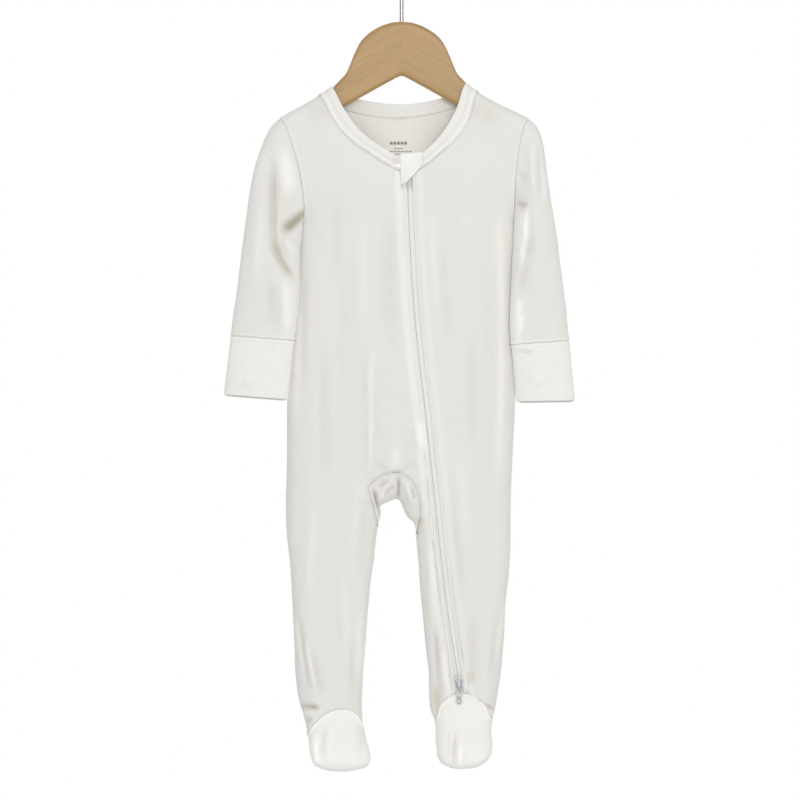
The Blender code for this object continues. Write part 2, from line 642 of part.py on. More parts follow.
def sleeve_sheet(leg):
    """A sleeve and its cuff: rings of half ellipses between an outer and an inner line.

    The first ring is the armhole's own seam, and its shape fades out of the rings below.
    """
    rings = np.arange(len(SLEEVE["depth"]))

    def ring_point(turn, ring, first):
        length = np.hypot(*(first[0] - first[1]))
        along = ((turn[0] - first[0][0]) * (first[1][0] - first[0][0])
                 + (turn[2] - first[0][1]) * (first[1][1] - first[0][1])) / length**2
        angle = np.arccos(np.clip(1 - 2 * along, -1, 1))
        outer = [curve(ring, rings, SLEEVE[leg + "_outer_" + n]) for n in "xz"]
        inner = [curve(ring, rings, SLEEVE[leg + "_inner_" + n]) for n in "xz"]
        depth = curve(ring, rings, SLEEVE["depth"])
        middle = curve(ring, rings, SLEEVE["middle"])
        share = (1 - np.cos(angle)) / 2
        x, z = mix(outer[0], inner[0], share), mix(outer[1], inner[1], share)
        swell = np.where(turn[1] < 0, folds(x, z, -1, SLEEVE_FOLDS), folds(x, z, 1, SLEEVE_FOLDS))
        y = middle + turn[1] * (depth + swell) * np.sin(angle)
        return np.stack(np.broadcast_arrays(x, y, z), -1)

    def sheet(turn, ring):
        turn, ring = np.broadcast_arrays(np.asarray(turn, float), np.asarray(ring, float))
        seam_point = armhole_point(turn, leg)
        first = np.array([[SLEEVE[leg + "_outer_x"][0], SLEEVE[leg + "_outer_z"][0]],
                          [SLEEVE[leg + "_inner_x"][0], SLEEVE[leg + "_inner_z"][0]]])
        where = (seam_point[..., 0], np.where(turn <= 1, -1, 1), seam_point[..., 2])
        here = ring_point(where, ring, first)
        start = ring_point(where, np.zeros_like(ring), first)
        fade = 1 - smooth_step(ring / CAP_RINGS)
        return here + (seam_point - start) * fade[..., None]

    return sheet


def neckband_sheet(side, leg):
    """A quarter of the neckband, from the neck's seam (0) to its free edge (1)."""

    def sheet(s, row):
        if side < 0:
            lines = (*neck_front(row, leg), *neck_front(row, leg, "_edge"))
        else:
            lines = (*seam(row, NECK_BACK[leg + "_x"], NECK_BACK[leg + "_z"]),
                     *seam(row, NECK_BACK[leg + "_edge_x"], NECK_BACK[leg + "_edge_z"]))
        return form(*between(*lines, s, row), side)

    return sheet


def guard_sheet(s, row):
    """The zip guard, lifted off the neckband and the front that it lies on."""
    rows = np.arange(len(GUARD["right_x"]))
    x = mix(curve(row, rows, GUARD["right_x"]), curve(row, rows, GUARD["left_x"]), s)
    z = mix(curve(row, rows, GUARD["right_z"]), curve(row, rows, GUARD["left_z"]), s)
    return front_raised(x, z, GUARD_CLOTH + SEAM_GAP)


def tape_sheet(leg):
    """A zip tape: it lies behind the front's edge and reaches the middle of the zip."""
    way = -1 if leg == "right" else 1

    def sheet(s, z):
        x = zip_line(z) + way * s * (ZIP_SLOT / 2 + TAPE_UNDERLAP)
        return front_raised(x, z, -(CLOTH + ZIP_GAP))

    return sheet


def coil_sheet(s, z):
    """The face of the zip's coil, behind the tapes."""
    x = zip_line(z) + (s - 0.5) * COIL_WIDTH
    return front_raised(x, z, -(CLOTH + TAPE_CLOTH + 2 * ZIP_GAP))


# ---------------------------------------------------------------- from sheets to walls


def grid(sheet, s, row, outward):
    """Points, normals and faces of a sheet on a grid. Outward is 1 or -1, whichever turns it out."""
    s, row = np.meshgrid(np.asarray(s, float), np.asarray(row, float))
    points = sheet(s, row)
    step_s = 1e-3 * (s.max() - s.min())
    step_row = 1e-3 * (row.max() - row.min()) / row.shape[0]
    inner_s = np.clip(s, s.min() + step_s, s.max() - step_s)
    inner_row = np.clip(row, row.min() + step_row, row.max() - step_row)
    along_s = sheet(inner_s + step_s, inner_row) - sheet(inner_s - step_s, inner_row)
    along_row = sheet(inner_s, inner_row + step_row) - sheet(inner_s, inner_row - step_row)
    normals = np.cross(along_s, along_row) * outward
    lengths = np.linalg.norm(normals, axis=-1, keepdims=True)
    normals = normals / np.maximum(lengths, 1e-15)
    index = np.arange(s.size).reshape(s.shape)
    corners = [index[:-1, :-1], index[:-1, 1:], index[1:, 1:], index[1:, :-1]]
    if outward < 0:
        corners.reverse()
    faces = np.stack([c.ravel() for c in corners], -1)
    return points.reshape(-1, 3), normals.reshape(-1, 3), faces


def weld(parts, reach=0.01):
    """Joins grids that share points into one sheet. Normals of joined points are averaged."""
    points = np.concatenate([p[0] for p in parts])
    normals = np.concatenate([p[1] for p in parts])
    starts = np.cumsum([0] + [len(p[0]) for p in parts[:-1]])
    faces = np.concatenate([p[2] + start for p, start in zip(parts, starts)])
    tree = kdtree.KDTree(len(points))
    for i, point in enumerate(points):
        tree.insert(Vector(point), i)
    tree.balance()
    same = np.array([min(found[1] for found in tree.find_range(Vector(p), reach)) for p in points])
    summed = np.zeros_like(normals)
    np.add.at(summed, same, normals)
    kept, new = np.unique(same, return_inverse=True)
    summed = summed[kept]
    summed /= np.linalg.norm(summed, axis=1, keepdims=True)
    loops = []
    for face in new[faces]:
        ring = [v for k, v in enumerate(face) if v != face[k - 1]]
        if len(ring) > 2:
            loops.append(ring)
    return {"points": points[kept], "normals": summed, "faces": loops}


def open_edges(faces):
    """Directed edges that have no face on their other side."""
    edges = {(a, b) for ring in faces for a, b in zip(ring, ring[1:] + ring[:1])}
    return np.array([e for e in edges if e[::-1] not in edges])


def share_normals(sheets, reach=0.02):
    """Where sheets meet at a seam they get one normal, so that their walls meet without crossing."""
    rims = []
    for sheet in sheets:
        for i in np.unique(open_edges(sheet["faces"])):
            rims.append((sheet, i))
    tree = kdtree.KDTree(len(rims))
    for k, (sheet, i) in enumerate(rims):
        tree.insert(Vector(sheet["points"][i]), k)
    tree.balance()
    shared = []
    for sheet, i in rims:
        found = sorted(f[1] for f in tree.find_range(Vector(sheet["points"][i]), reach))
        near = [rims[k] for k in found]
        ways = []
        for other, j in near:
            normal = other["normals"][j]
            if all(normal @ way < 0.9 for way in ways):
                ways.append(normal)
        total = np.sum(ways, axis=0)
        shared.append(total / np.linalg.norm(total))
    for (sheet, i), normal in zip(rims, shared):
        sheet["normals"][i] = normal


def pull_back(sheet, distance):
    """Moves a sheet's open edges inwards along the sheet, by the same distance all round."""
    points, normals = sheet["points"], sheet["normals"]
    edges = open_edges(sheet["faces"])
    along = points[edges[:, 1]] - points[edges[:, 0]]
    middle_normals = normals[edges[:, 0]] + normals[edges[:, 1]]
    inward = np.cross(middle_normals, along)
    inward /= np.linalg.norm(inward, axis=1, keepdims=True)
    total = np.zeros_like(points)
    count = np.zeros(len(points))
    for end in (0, 1):
        np.add.at(total, edges[:, end], inward)
        np.add.at(count, edges[:, end], 1)
    rim = count > 0
    mean = total[rim] / count[rim, None]
    square = np.maximum(np.sum(mean**2, axis=1, keepdims=True), 0.35)
    moved = points.copy()
    moved[rim] += mean / square * distance
    return moved


def rim(a, b, count, heights):
    """Two triangles that close a wall's edge. Both walls at a seam are split along the same diagonal."""
    if heights[a] > heights[b]:
        return [[b, a, b + count], [a, a + count, b + count]]
    return [[b, a, a + count], [b, a + count, b + count]]


def wall(name, sheet, thickness, material, gap=SEAM_GAP):
    """Gives a sheet its thickness, inwards, and makes it an object."""
    outer = pull_back(sheet, gap / 2)
    inner = outer - sheet["normals"] * thickness
    count = len(outer)
    faces = [list(ring) for ring in sheet["faces"]]
    faces += [[v + count for v in reversed(ring)] for ring in sheet["faces"]]
    for a, b in open_edges(sheet["faces"]):
        faces += rim(a, b, count, sheet["points"][:, 2])
    return make_object(name, np.concatenate([outer, inner]), faces, material)


def make_object(name, points, faces, material):
    """A smooth-shaded mesh object from points in millimetres."""
    mesh = bpy.data.meshes.new(name)
    mesh.from_pydata((np.asarray(points) * MM).tolist(), [], [[int(v) for v in f] for f in faces])
    mesh.validate()
    mesh.materials.append(material)
    mesh.shade_smooth()
    mesh.set_sharp_from_angle(angle=math.radians(40))
    thing = bpy.data.objects.new(name, mesh)
    bpy.context.collection.objects.link(thing)
    return thing


def finish_material(name, colour, roughness, metallic=0.0):
    material = bpy.data.materials.new(name)
    material.use_nodes = True
    shader = material.node_tree.nodes["Principled BSDF"]
    shader.inputs["Base Color"].default_value = (*colour, 1)
    shader.inputs["Roughness"].default_value = roughness
    shader.inputs["Metallic"].default_value = metallic
    return material


# ---------------------------------------------------------------- the cloth


def shoulder_rows():
    """Rows down to the armhole's foot, with extra ones over the fold of the shoulder."""
    return [0, 0.33, 0.66] + list(range(1, UNDERARM_ROW + 1))


def cloth_sheets():
    """Every cut piece as a sheet: name, sheet, thickness."""
    rows = shoulder_rows() + list(range(UNDERARM_ROW + 1, ANKLE_ROW + 1))
    main, strip = np.linspace(0, 1, RIGHT_COLUMNS + 1), np.linspace(0, 1, STRIP_COLUMNS + 1)
    left = np.linspace(0, 1, LEFT_COLUMNS + 1)
    across = {"right": main, "left": np.linspace(0, 1, STRIP_COLUMNS + LEFT_COLUMNS + 2)}
    right_main, right_strip = front_right_sheets()
    turns = np.array(shoulder_rows()) / UNDERARM_ROW
    turns = np.concatenate([turns, 2 - turns[::-1][1:]])
    gusset_rows = np.arange(ARCH_ROW - TIP_ROW, TIP_ROW - ARCH_ROW + 1)
    pieces = [
        ("front_right", [grid(right_main, main, rows, -1), grid(right_strip, strip, rows, -1)], CLOTH),
        ("front_left", [grid(front_left_sheet(), left, rows, -1)], CLOTH),
        ("back", [grid(back_sheet("right"), across["right"], rows, 1),
                  grid(back_sheet("left"), across["left"], rows, -1)], CLOTH),
        ("gusset", [grid(gusset_sheet, np.linspace(0, 1, 7), gusset_rows, 1)], CLOTH),
    ]
    for leg, way in (("right", -1), ("left", 1)):
        sleeve = sleeve_sheet(leg)
        pieces.append(("sleeve_" + leg, [grid(sleeve, turns, range(CUFF_RING + 1), way)], CLOTH))
        pieces.append(("cuff_" + leg, [grid(sleeve, turns, range(CUFF_RING, HAND_RING + 1), way)],
                       CUFF_CLOTH))
        columns = slot_columns if leg == "left" else even_columns
        top, sole = foot_sheet(leg, -1, columns), foot_sheet(leg, 1, even_columns)
        pieces.append(("foot_top_" + leg, [grid(top, across[leg], FOOT_ROWS, -way)], CLOTH))
        pieces.append(("sole_" + leg, [grid(sole, across[leg], FOOT_ROWS, way)], CLOTH))
    neck_front = shoulder_rows()
    neck_back = neck_front[:-1]
    band = np.linspace(0, 1, 3)
    pieces.append(("neckband", [
        grid(neckband_sheet(-1, "right"), band, neck_front, -1),
        grid(neckband_sheet(-1, "left"), band, neck_front, 1),
        grid(neckband_sheet(1, "right"), band, neck_back, 1),
        grid(neckband_sheet(1, "left"), band, neck_back, -1),
    ], BAND_CLOTH))
    return [(name, weld(parts), thickness) for name, parts, thickness in pieces]


def make_cloth(jersey, rib):
    pieces = cloth_sheets()
    share_normals([sheet for _, sheet, _ in pieces])
    for name, sheet, thickness in pieces:
        gap = 2 * SEAM_GAP if name.startswith("sleeve") else SEAM_GAP
        wall(name, sheet, thickness, rib if name.startswith(("cuff", "neckband")) else jersey, gap)
    guard = weld([grid(guard_sheet, np.linspace(0, 1, 5), np.arange(6), -1)])
    wall("zip_guard", guard, GUARD_CLOTH, jersey)


def make_zip(tape, coil):
    heights = np.linspace(TAPE_BOTTOM, TAPE_TOP, 20)
    for leg, way in (("right", 1), ("left", -1)):
        sheet = weld([grid(tape_sheet(leg), np.linspace(0, 1, 3), heights, -way)])
        wall("zip_tape_" + leg, sheet, TAPE_CLOTH, tape)
    sheet = weld([grid(coil_sheet, np.linspace(0, 1, 3), np.linspace(COIL_BOTTOM, COIL_TOP, 20), 1)])
    wall("zip_coil", sheet, COIL_THICKNESS, coil)


# ---------------------------------------------------------------- slider, pull tab and hanger


def prism(outline, low, high):
    """A bmesh of an outline in X and Z, extruded from Y low to Y high."""
    shape = bmesh.new()
    ring = [shape.verts.new((x * MM, low * MM, z * MM)) for x, z in outline]
    face = shape.faces.new(ring)
    extruded = bmesh.ops.extrude_face_region(shape, geom=[face])
    moved = [v for v in extruded["geom"] if isinstance(v, bmesh.types.BMVert)]
    bmesh.ops.translate(shape, vec=(0, (high - low) * MM, 0), verts=moved)
    bmesh.ops.recalc_face_normals(shape, faces=shape.faces)
    return shape


def object_from(shape, name, material):
    mesh = bpy.data.meshes.new(name)
    shape.to_mesh(mesh)
    shape.free()
    if material:
        mesh.materials.append(material)
    mesh.shade_smooth()
    mesh.set_sharp_from_angle(angle=math.radians(40))
    thing = bpy.data.objects.new(name, mesh)
    bpy.context.collection.objects.link(thing)
    return thing


def cutter(shape, name, target, operation="DIFFERENCE"):
    """Cuts a shape out of an object, or joins it on."""
    tool = object_from(shape, name, None)
    tool.hide_render = True
    tool.display_type = "WIRE"
    tool.parent = target
    modifier = target.modifiers.new(name, "BOOLEAN")
    modifier.operation = operation
    modifier.solver = "EXACT"
    modifier.object = tool
    return tool


def arc(centre, radius, start, end, count):
    """Points round a circle in X and Z, between two angles in degrees."""
    angles = np.radians(np.linspace(start, end, count))
    return [(centre[0] + radius * math.cos(a), centre[1] + radius * math.sin(a)) for a in angles]


def slider_place():
    """Origin and turn of the slider: it lies on the form, in line with the zip."""
    z = SLIDER_HEIGHT
    x = float(zip_line(z))
    point = form(x, z, -1)
    run = form(float(zip_line(z + 5)), z + 5, -1) - form(float(zip_line(z - 5)), z - 5, -1)
    along = Vector(run).normalized()
    across = Vector((1, 0, 0))
    across = (across - along * across.dot(along)).normalized()
    outward = along.cross(across)
    if outward.y > 0:
        outward = -outward
    turn = Matrix((across, -outward, along)).transposed().to_4x4()
    return Matrix.Translation(Vector(point) * MM) @ turn


def make_slider(metal):
    """Front plate with rounded corners, and the bridge that holds the pull tab."""
    half_width, half_length = SLIDER_WIDTH / 2, SLIDER_LENGTH / 2
    back = -SLIDER_LIFT
    face = back - SLIDER_THICKNESS
    nose = half_width - 1.4
    plate = prism(
        arc((nose, half_length - 1.4), 1.4, 0, 90, 4)
        + arc((-nose, half_length - 1.4), 1.4, 90, 180, 4)
        + arc((-nose + 0.9, -half_length + 1.2), 1.2, 180, 270, 4)
        + arc((nose - 0.9, -half_length + 1.2), 1.2, 270, 360, 4),
        face, back,
    )
    slider = object_from(plate, "zip_slider", metal)
    slider.matrix_world = slider_place()
    rise, span = BRIDGE_RISE, BRIDGE_LENGTH / 2
    foot = face + 0.4
    outer = [(-span, foot), (-span, face - rise + 1.2), (-span + 1.2, face - rise)]
    outer += [(span - 1.2, face - rise), (span, face - rise + 1.2), (span, foot)]
    t = BRIDGE_THICKNESS
    inner = [(span - t, foot), (span - t, face - rise + t + 0.3), (span - t - 0.3, face - rise + t)]
    inner += [(-span + t + 0.3, face - rise + t), (-span + t, face - rise + t + 0.3), (-span + t, foot)]
    shape = bmesh.new()
    ring = [shape.verts.new((-BRIDGE_WIDTH / 2 * MM, y * MM, z * MM)) for z, y in outer + inner]
    face_made = shape.faces.new(ring)
    extruded = bmesh.ops.extrude_face_region(shape, geom=[face_made])
    moved = [v for v in extruded["geom"] if isinstance(v, bmesh.types.BMVert)]
    bmesh.ops.translate(shape, vec=(BRIDGE_WIDTH * MM, 0, 0), verts=moved)
    bmesh.ops.recalc_face_normals(shape, faces=shape.faces)
    cutter(shape, "bridge", slider, "UNION")
    return slider


def pull_place():
    """The pull tab's pivot: its crossbar hangs in the lower end of the slider's bridge."""
    clear = BRIDGE_THICKNESS + BRIDGE_PLAY + PULL_THICKNESS / 2
    depth = -SLIDER_LIFT - SLIDER_THICKNESS - BRIDGE_RISE + clear
    return slider_place() @ Vector((0, depth * MM, (clear - BRIDGE_LENGTH / 2) * MM))


def make_pull(metal):
    """A flat tab that leans on the foot: a window round the bridge, a waist and a round end with an eye."""
    half = PULL_THICKNESS / 2
    end = -(PULL_LENGTH - PULL_RING)
    shoulder_z = -PULL_WINDOW_LENGTH - half
    outline = [(PULL_WIDTH / 2 - 0.5, half), (PULL_WIDTH / 2, half - 0.5)]
    outline += [(PULL_WIDTH / 2, shoulder_z + 2), (PULL_WAIST / 2 + 0.3, shoulder_z - 0.8)]
    outline += [(PULL_WAIST / 2, end + PULL_RING + 0.4)]
    outline += arc((0, end), PULL_RING, 48, -228, 16)
    outline += [(-PULL_WAIST / 2, end + PULL_RING + 0.4)]
    outline += [(-PULL_WAIST / 2 - 0.3, shoulder_z - 0.8), (-PULL_WIDTH / 2, shoulder_z + 2)]
    outline += [(-PULL_WIDTH / 2, half - 0.5), (-PULL_WIDTH / 2 + 0.5, half)]
    pull = object_from(prism(outline, -half, half), "zip_pull", metal)
    pull.location = pull_place()
    pull.rotation_euler = (math.radians(-PULL_LEAN), 0, 0)
    window_top = -half
    window = prism(
        [(-PULL_WINDOW_WIDTH / 2, window_top), (PULL_WINDOW_WIDTH / 2, window_top),
         (PULL_WINDOW_WIDTH / 2, shoulder_z + 1.6), (0.8, shoulder_z), (-0.8, shoulder_z),
         (-PULL_WINDOW_WIDTH / 2, shoulder_z + 1.6)],
        -2, 2,
    )
    cutter(window, "pull_window", pull)
    cutter(prism(arc((0, end), PULL_EYE, 0, 337.5, 16), -2, 2), "pull_eye", pull)
    return pull


def board_outline():
    """The hanger's outline: dome, arms a little under the shoulder line, round tips, notch beneath."""
    top = list(DOME)
    top += [(x, float(shoulder(-x)) - BOARD_CLEARANCE) for x in ARM_STEPS]
    tip_x = BOARD_TIP - 8
    high = float(shoulder(-tip_x)) - BOARD_CLEARANCE
    low = BOARD_NOTCH - BOARD_UNDER_SLOPE * tip_x
    top += [(tip_x + 1.5, high - 1), (tip_x + 5.5, high - 4.2), (BOARD_TIP, (high + low) / 2)]
    top += [(tip_x + 5.2, low + 1.6), (tip_x, low - 0.4)]
    half = top + [(0, BOARD_NOTCH)]
    return half + [(-x, z) for x, z in reversed(half[1:-1])]


def make_hanger(wood, steel):
    half = BOARD_THICKNESS / 2
    board = object_from(prism(board_outline(), -half, half), "hanger", wood)
    rounding = board.modifiers.new("rounding", "BEVEL")
    rounding.width = BOARD_ROUNDING * MM
    rounding.segments = 3
    rounding.limit_method = "ANGLE"
    rounding.angle_limit = math.radians(60)
    hole = bmesh.new()
    depth = DOME[0][1] - SHANK_FOOT + HOLE_SLACK
    placed = Matrix.Translation((0, 0, (SHANK_FOOT - HOLE_SLACK + depth / 2 + 2) * MM))
    bmesh.ops.create_cone(hole, cap_ends=True, segments=16, radius1=(WIRE + HOLE_SLACK) * MM,
                          radius2=(WIRE + HOLE_SLACK) * MM, depth=(depth + 4) * MM, matrix=placed)
    cutter(hole, "shank_hole", board)

    centre = (0, WIRE - HOOK_RADIUS)
    bow = arc(centre, HOOK_RADIUS, HOOK_START, HOOK_END, 25)
    turn = math.radians(HOOK_START)
    lead = (bow[0][0] - 8 * math.sin(turn), bow[0][1] + 8 * math.cos(turn))
    corners = [(0, SHANK_TOP), (0, SHANK_TOP + 10), lead, bow[0]]
    swan = []
    for t in np.linspace(0, 1, 8)[:-1]:
        weights = ((1 - t) ** 3, 3 * t * (1 - t) ** 2, 3 * t * t * (1 - t), t**3)
        swan.append(tuple(sum(w * c[k] for w, c in zip(weights, corners)) for k in (0, 1)))
    path = [(0, SHANK_FOOT), (0, SHANK_FOOT / 2 + SHANK_TOP / 2)] + swan + bow
    wire = bpy.data.curves.new("hanger_hook", "CURVE")
    wire.dimensions = "3D"
    spline = wire.splines.new("POLY")
    spline.points.add(len(path) - 1)
    for point, (x, z) in zip(spline.points, path):
        point.co = (x * MM, 0, z * MM, 1)
    wire.bevel_depth = WIRE * MM
    wire.bevel_resolution = 3
    wire.use_fill_caps = True
    wire.materials.append(steel)
    hook = bpy.data.objects.new("hanger_hook", wire)
    bpy.context.collection.objects.link(hook)


def main():
    for thing in list(bpy.data.objects):
        bpy.data.objects.remove(thing)
    jersey = finish_material("jersey", (0.86, 0.85, 0.81), 0.75)
    rib = finish_material("band_jersey", (0.87, 0.86, 0.82), 0.75)
    tape = finish_material("zip_tape", (0.84, 0.85, 0.82), 0.6)
    coil = finish_material("zip_coil", (0.85, 0.86, 0.84), 0.4)
    metal = finish_material("slider_enamel", (0.8, 0.8, 0.8), 0.3, 0.4)
    wood = finish_material("hanger_wood", (0.5, 0.33, 0.17), 0.5)
    steel = finish_material("hook_steel", (0.3, 0.29, 0.28), 0.3, 1.0)
    make_cloth(jersey, rib)
    make_zip(tape, coil)
    make_slider(metal)
    make_pull(metal)
    make_hanger(wood, steel)


if __name__ == "__main__":
    main()
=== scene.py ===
"""A baby sleepsuit with feet and long sleeves, zipped from the neck to the left ankle, on a wooden hanger.

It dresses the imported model, which is loaded as a fixed frame. Metres, +Z up, front facing -Y, origin at the
inner top of the hanger's hook. Left and right are the wearer's, so the right side is at -X. Tables and
shape functions are in millimetres and become metres when a mesh is made.

The body, legs and feet are one hollow form: at each height it has a right and a left edge and a depth to
the front and to the back. Each cut piece is a fine sheet on that form between its seams, with its creases,
its puffed seams and its turned edges, and gets the thickness of its cloth from a Solidify modifier.
"""

import math

import bmesh
import bpy
import numpy as np
from bpy.props import FloatProperty, FloatVectorProperty, PointerProperty
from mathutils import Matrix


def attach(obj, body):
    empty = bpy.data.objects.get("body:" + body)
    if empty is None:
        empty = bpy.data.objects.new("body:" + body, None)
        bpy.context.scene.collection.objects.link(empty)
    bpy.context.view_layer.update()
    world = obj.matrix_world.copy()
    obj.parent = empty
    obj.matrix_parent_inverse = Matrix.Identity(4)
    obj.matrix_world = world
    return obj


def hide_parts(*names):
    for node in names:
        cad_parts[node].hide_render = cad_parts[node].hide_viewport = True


bl_info = {
    "name": "Baby sleepsuit on a hanger",
    "version": (1, 0, 0),
    "blender": (4, 5, 0),
    "location": "3D View > Sidebar > Sleepsuit",
    "description": "Builds a zipped, footed baby sleepsuit hung on a wooden hanger",
    "category": "Object",
}

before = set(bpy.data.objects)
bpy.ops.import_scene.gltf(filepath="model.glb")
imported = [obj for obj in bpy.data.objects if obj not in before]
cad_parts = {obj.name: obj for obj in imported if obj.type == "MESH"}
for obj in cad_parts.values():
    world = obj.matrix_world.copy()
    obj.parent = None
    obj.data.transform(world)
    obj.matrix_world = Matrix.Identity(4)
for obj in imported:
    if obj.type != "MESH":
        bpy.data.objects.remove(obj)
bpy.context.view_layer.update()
SUIT, PULL = "suit", "pull"
LEGS = ("right", "left")
MIRROR = {"right": 1, "left": -1}  # the sign that turns a right piece's sheet over to the left one's
WHOLE, ROUND = (0.0, 1.0), (0.0, 2.0)  # all of a sheet's width, and once round a sleeve

MM = 0.001
# Steps of the cloth's rows by height: finer about the crotch and the feet.
ROW_STEP = {
    "z": (-700, -460, -430, -200, -170, -90),
    "step": (1, 1, 1.5, 1.5, 1.1, 1.1),
}

RIDGE = 8.6  # radius of the fold of cloth over the hanger's arms
FLATNESS, FOOT_FLATNESS = 3.3, 4.2  # exponents of the section: 2 is an ellipse, more is squarer
ZIP_SLOT = 6.0  # width of zip that shows between the two fronts
CREASE_STRENGTH, SLEEVE_STRENGTH, GUSSET_STRENGTH = 2.4, 3.3, 2.6  # of the finer creases
ZIP_LEAN, ZIP_LEAN_FOOT, ZIP_LEAN_REACH = 1.2, -625, 60  # of the coil and tapes, above the zip's foot
FOOT_SECTION, FOOT_BLEND = -635, 30  # where a leg's section begins to turn squarer, and over how much
ROLL_SHADE = 1.4  # how much a seam's rolls count in the painted shade and highlight of the creases
EDGE_ROUNDING = 0.6  # radius of the cut edges of the neckband and the guard
BAND_WIDTH, BAND_STITCHES = 9.0, (1.5, 3.5)  # the neckband, and its lines of stitches from its seam
BACK_COARSER = 1.45  # how much longer the steps of the back's cloth are
COIL_WIDTH = 3.4
COIL_TOP, COIL_BOTTOM = -206.0, -614.0
TAPE_TOP, TAPE_BOTTOM = -200.0, -633.5

SLIDER_HEIGHT = -623.0
SLIDER_WIDTH, SLIDER_LENGTH, SLIDER_THICKNESS = 8.4, 12.0, 1.5
SLIDER_LIFT = 0.5  # from the cloth to the back of the slider's plate
BRIDGE_WIDTH, BRIDGE_THICKNESS, BRIDGE_RISE, BRIDGE_LENGTH = 1.8, 0.9, 3.2, 8.4
BRIDGE_HALF = BRIDGE_THICKNESS / 2
BRIDGE_PLAY = 0.45  # between the bridge's inside and the pull tab's crossbar
PULL_WIDTH, PULL_WAIST, PULL_THICKNESS, PULL_LENGTH = 6.4, 4.4, 1.1, 14.6
PULL_WINDOW_WIDTH, PULL_WINDOW_LENGTH = 4.2, 7.6
PULL_EYE, PULL_RING = 1.2, 2.5  # radii of the eye and of the round end about it
PULL_LEAN = 4.0  # degrees that the foot below holds the tab off plumb

BOARD_THICKNESS = 10.0
BOARD_ROUNDING = 3.5
BOARD_CLEARANCE = 3.9  # from the shoulder line of the cloth down to the wood
BOARD_TIP = 96.0
WIRE = 1.7  # radius of the hook's wire
HOOK_RADIUS = 19.0  # of the wire's middle line
HOOK_START, HOOK_END = 215.0, -25.0  # degrees from +X
SHANK_TOP, SHANK_FOOT = -48.0, -80.0

# The line of the shoulders, over the hanger.
SHOULDER = {
    "x": (-125, -102.1, -66.8, -58, -40, 0, 38, 53.5, 61.7, 106.4, 125),
    "z": (-162.2, -149.1, -128.9, -122.8, -109, -93, -107, -119.9, -126, -149.5, -159.3),
}

# Edges of the body's form. Above the underarms they lie outside the armholes.
EDGE = {
    "right": {
        "z": (-90, -150, -180, -200, -215, -234, -245, -270, -310, -350, -385, -430, -503, -520, -554, -587,
            -621, -638, -647, -657, -668, -681, -691, -700),
        "x": (-300, -180, -140, -112, -95, -82.5, -84.2, -88.2, -91.6, -94, -95.3, -95.5, -95.3, -93.2,
            -91.1, -89.5, -87.8, -85.3, -82.4, -79.6, -77.6, -75.8, -73, -72.5),
    },
    "left": {
        "z": (-90, -150, -180, -198, -212, -230, -245, -262, -310, -350, -394, -428, -470, -520, -537, -554,
            -587, -604, -621, -638, -647, -655, -664, -675, -684, -700),
        "x": (300, 190, 150, 120, 106, 95.4, 95.4, 95.5, 95.3, 95, 94.5, 92.8, 91.1, 90.3, 88.9, 86.9, 85.3,
            83.8, 81.9, 79, 77.2, 75.2, 74.4, 75.4, 74.4, 73.5),
    },
}
# Inner edges of the two legs. Above the crotch they cross, and the two forms melt together.
INSEAM = {
    "right": {
        "z": (-440, -455, -468, -473.8, -480.5, -489.7, -503, -520, -536.8, -553.6, -587, -621, -638, -654,
            -662, -677, -688, -700),
        "x": (6, -1, -12, -18.9, -18.1, -20.2, -22.2, -23.9, -26.5, -28.1, -30.7, -33.2, -34, -33.4, -33,
            -28.1, -26, -26.5),
    },
    "left": {
        "z": (-440, -455, -463, -470.4, -481, -487.2, -496, -503, -520, -545, -570, -596, -612, -638, -646,
            -654, -669, -683, -700),
        "x": (-14, -9, -5, -0.4, 3.8, 10.1, 12.8, 13.1, 14.7, 16.4, 18.9, 21.4, 23.4, 24.2, 25.2, 28.6, 29,
            30.2, 31),
    },
}
# Depth of the form in front of and behind its middle plane, and where that plane is: the feet lean forward.
DEPTH = {
    "z": (-90, -150, -180, -215, -260, -330, -400, -450, -480, -520, -560, -600, -640, -655, -668, -680,
        -692, -700),
    "front": (8.6, 8.9, 12.6, 15, 16.5, 17, 17, 16.3, 15, 14, 13, 12.5, 12.5, 13, 13, 12, 11, 10),
    "back": (8.6, 9.1, 11.6, 13.5, 15, 15.5, 16, 16, 15.2, 14, 13, 12.5, 13, 16, 19.5, 19, 15, 12),
    "middle": (0, 0, 0, 0, 0, 0, 0, 0, 0, 0, 0, 0, -1.5, -6, -13.5, -21.5, -27, -29.5),
}
HIPS_TOP, HIPS_BOTTOM = -400.0, -470.0  # between these the torso's section turns into two legs
TOE_TOP = -664.0  # below it the foot closes towards the toe's edge

# The largest folds: each runs from x0, z0 to x1, z1 and swells (or, below zero, sinks) by height over
# a width. They fade at their ends and at the edges of the form.
FOLDS = {  # side: x0, z0, x1, z1, width, height
    -1: (
        (-12, -225, -12, -352, 8.5, -1.7), (-26, -330, -25, -458, 8.5, 1.8),
        (-52, -262, -49, -400, 11, -1.6), (-73, -250, -76, -330, 8, 1.2), (73, -214, 75, -400, 9, -1.7),
        (72, -430, 69, -585, 9, -1.4), (52, -220, 55, -300, 8, 1.1), (-5, -424, -5, -446, 7, 1.8),
        (12, -470, 17, -508, 6.5, -2.2), (-88, -545, -71, -646, 7.5, 1.7), (-61, -500, -58, -600, 9, -1.2),
        (-40, -555, -38, -640, 7, 1.2), (30, -585, 36, -655, 6.5, -1.3), (79, -552, 70, -640, 6, 1.3),
    ),
    1: (
        (-3, -175, -2, -300, 12, -1.8), (-48, -190, -53, -330, 11, 1.7), (51, -200, 56, -360, 10, 1.6),
        (20, -300, 26, -430, 9, -1.3), (-24, -350, -34, -455, 9, 1.5), (-62, -480, -57, -610, 9, -1.3),
        (56, -470, 52, -620, 8.5, 1.3),
    ),
}
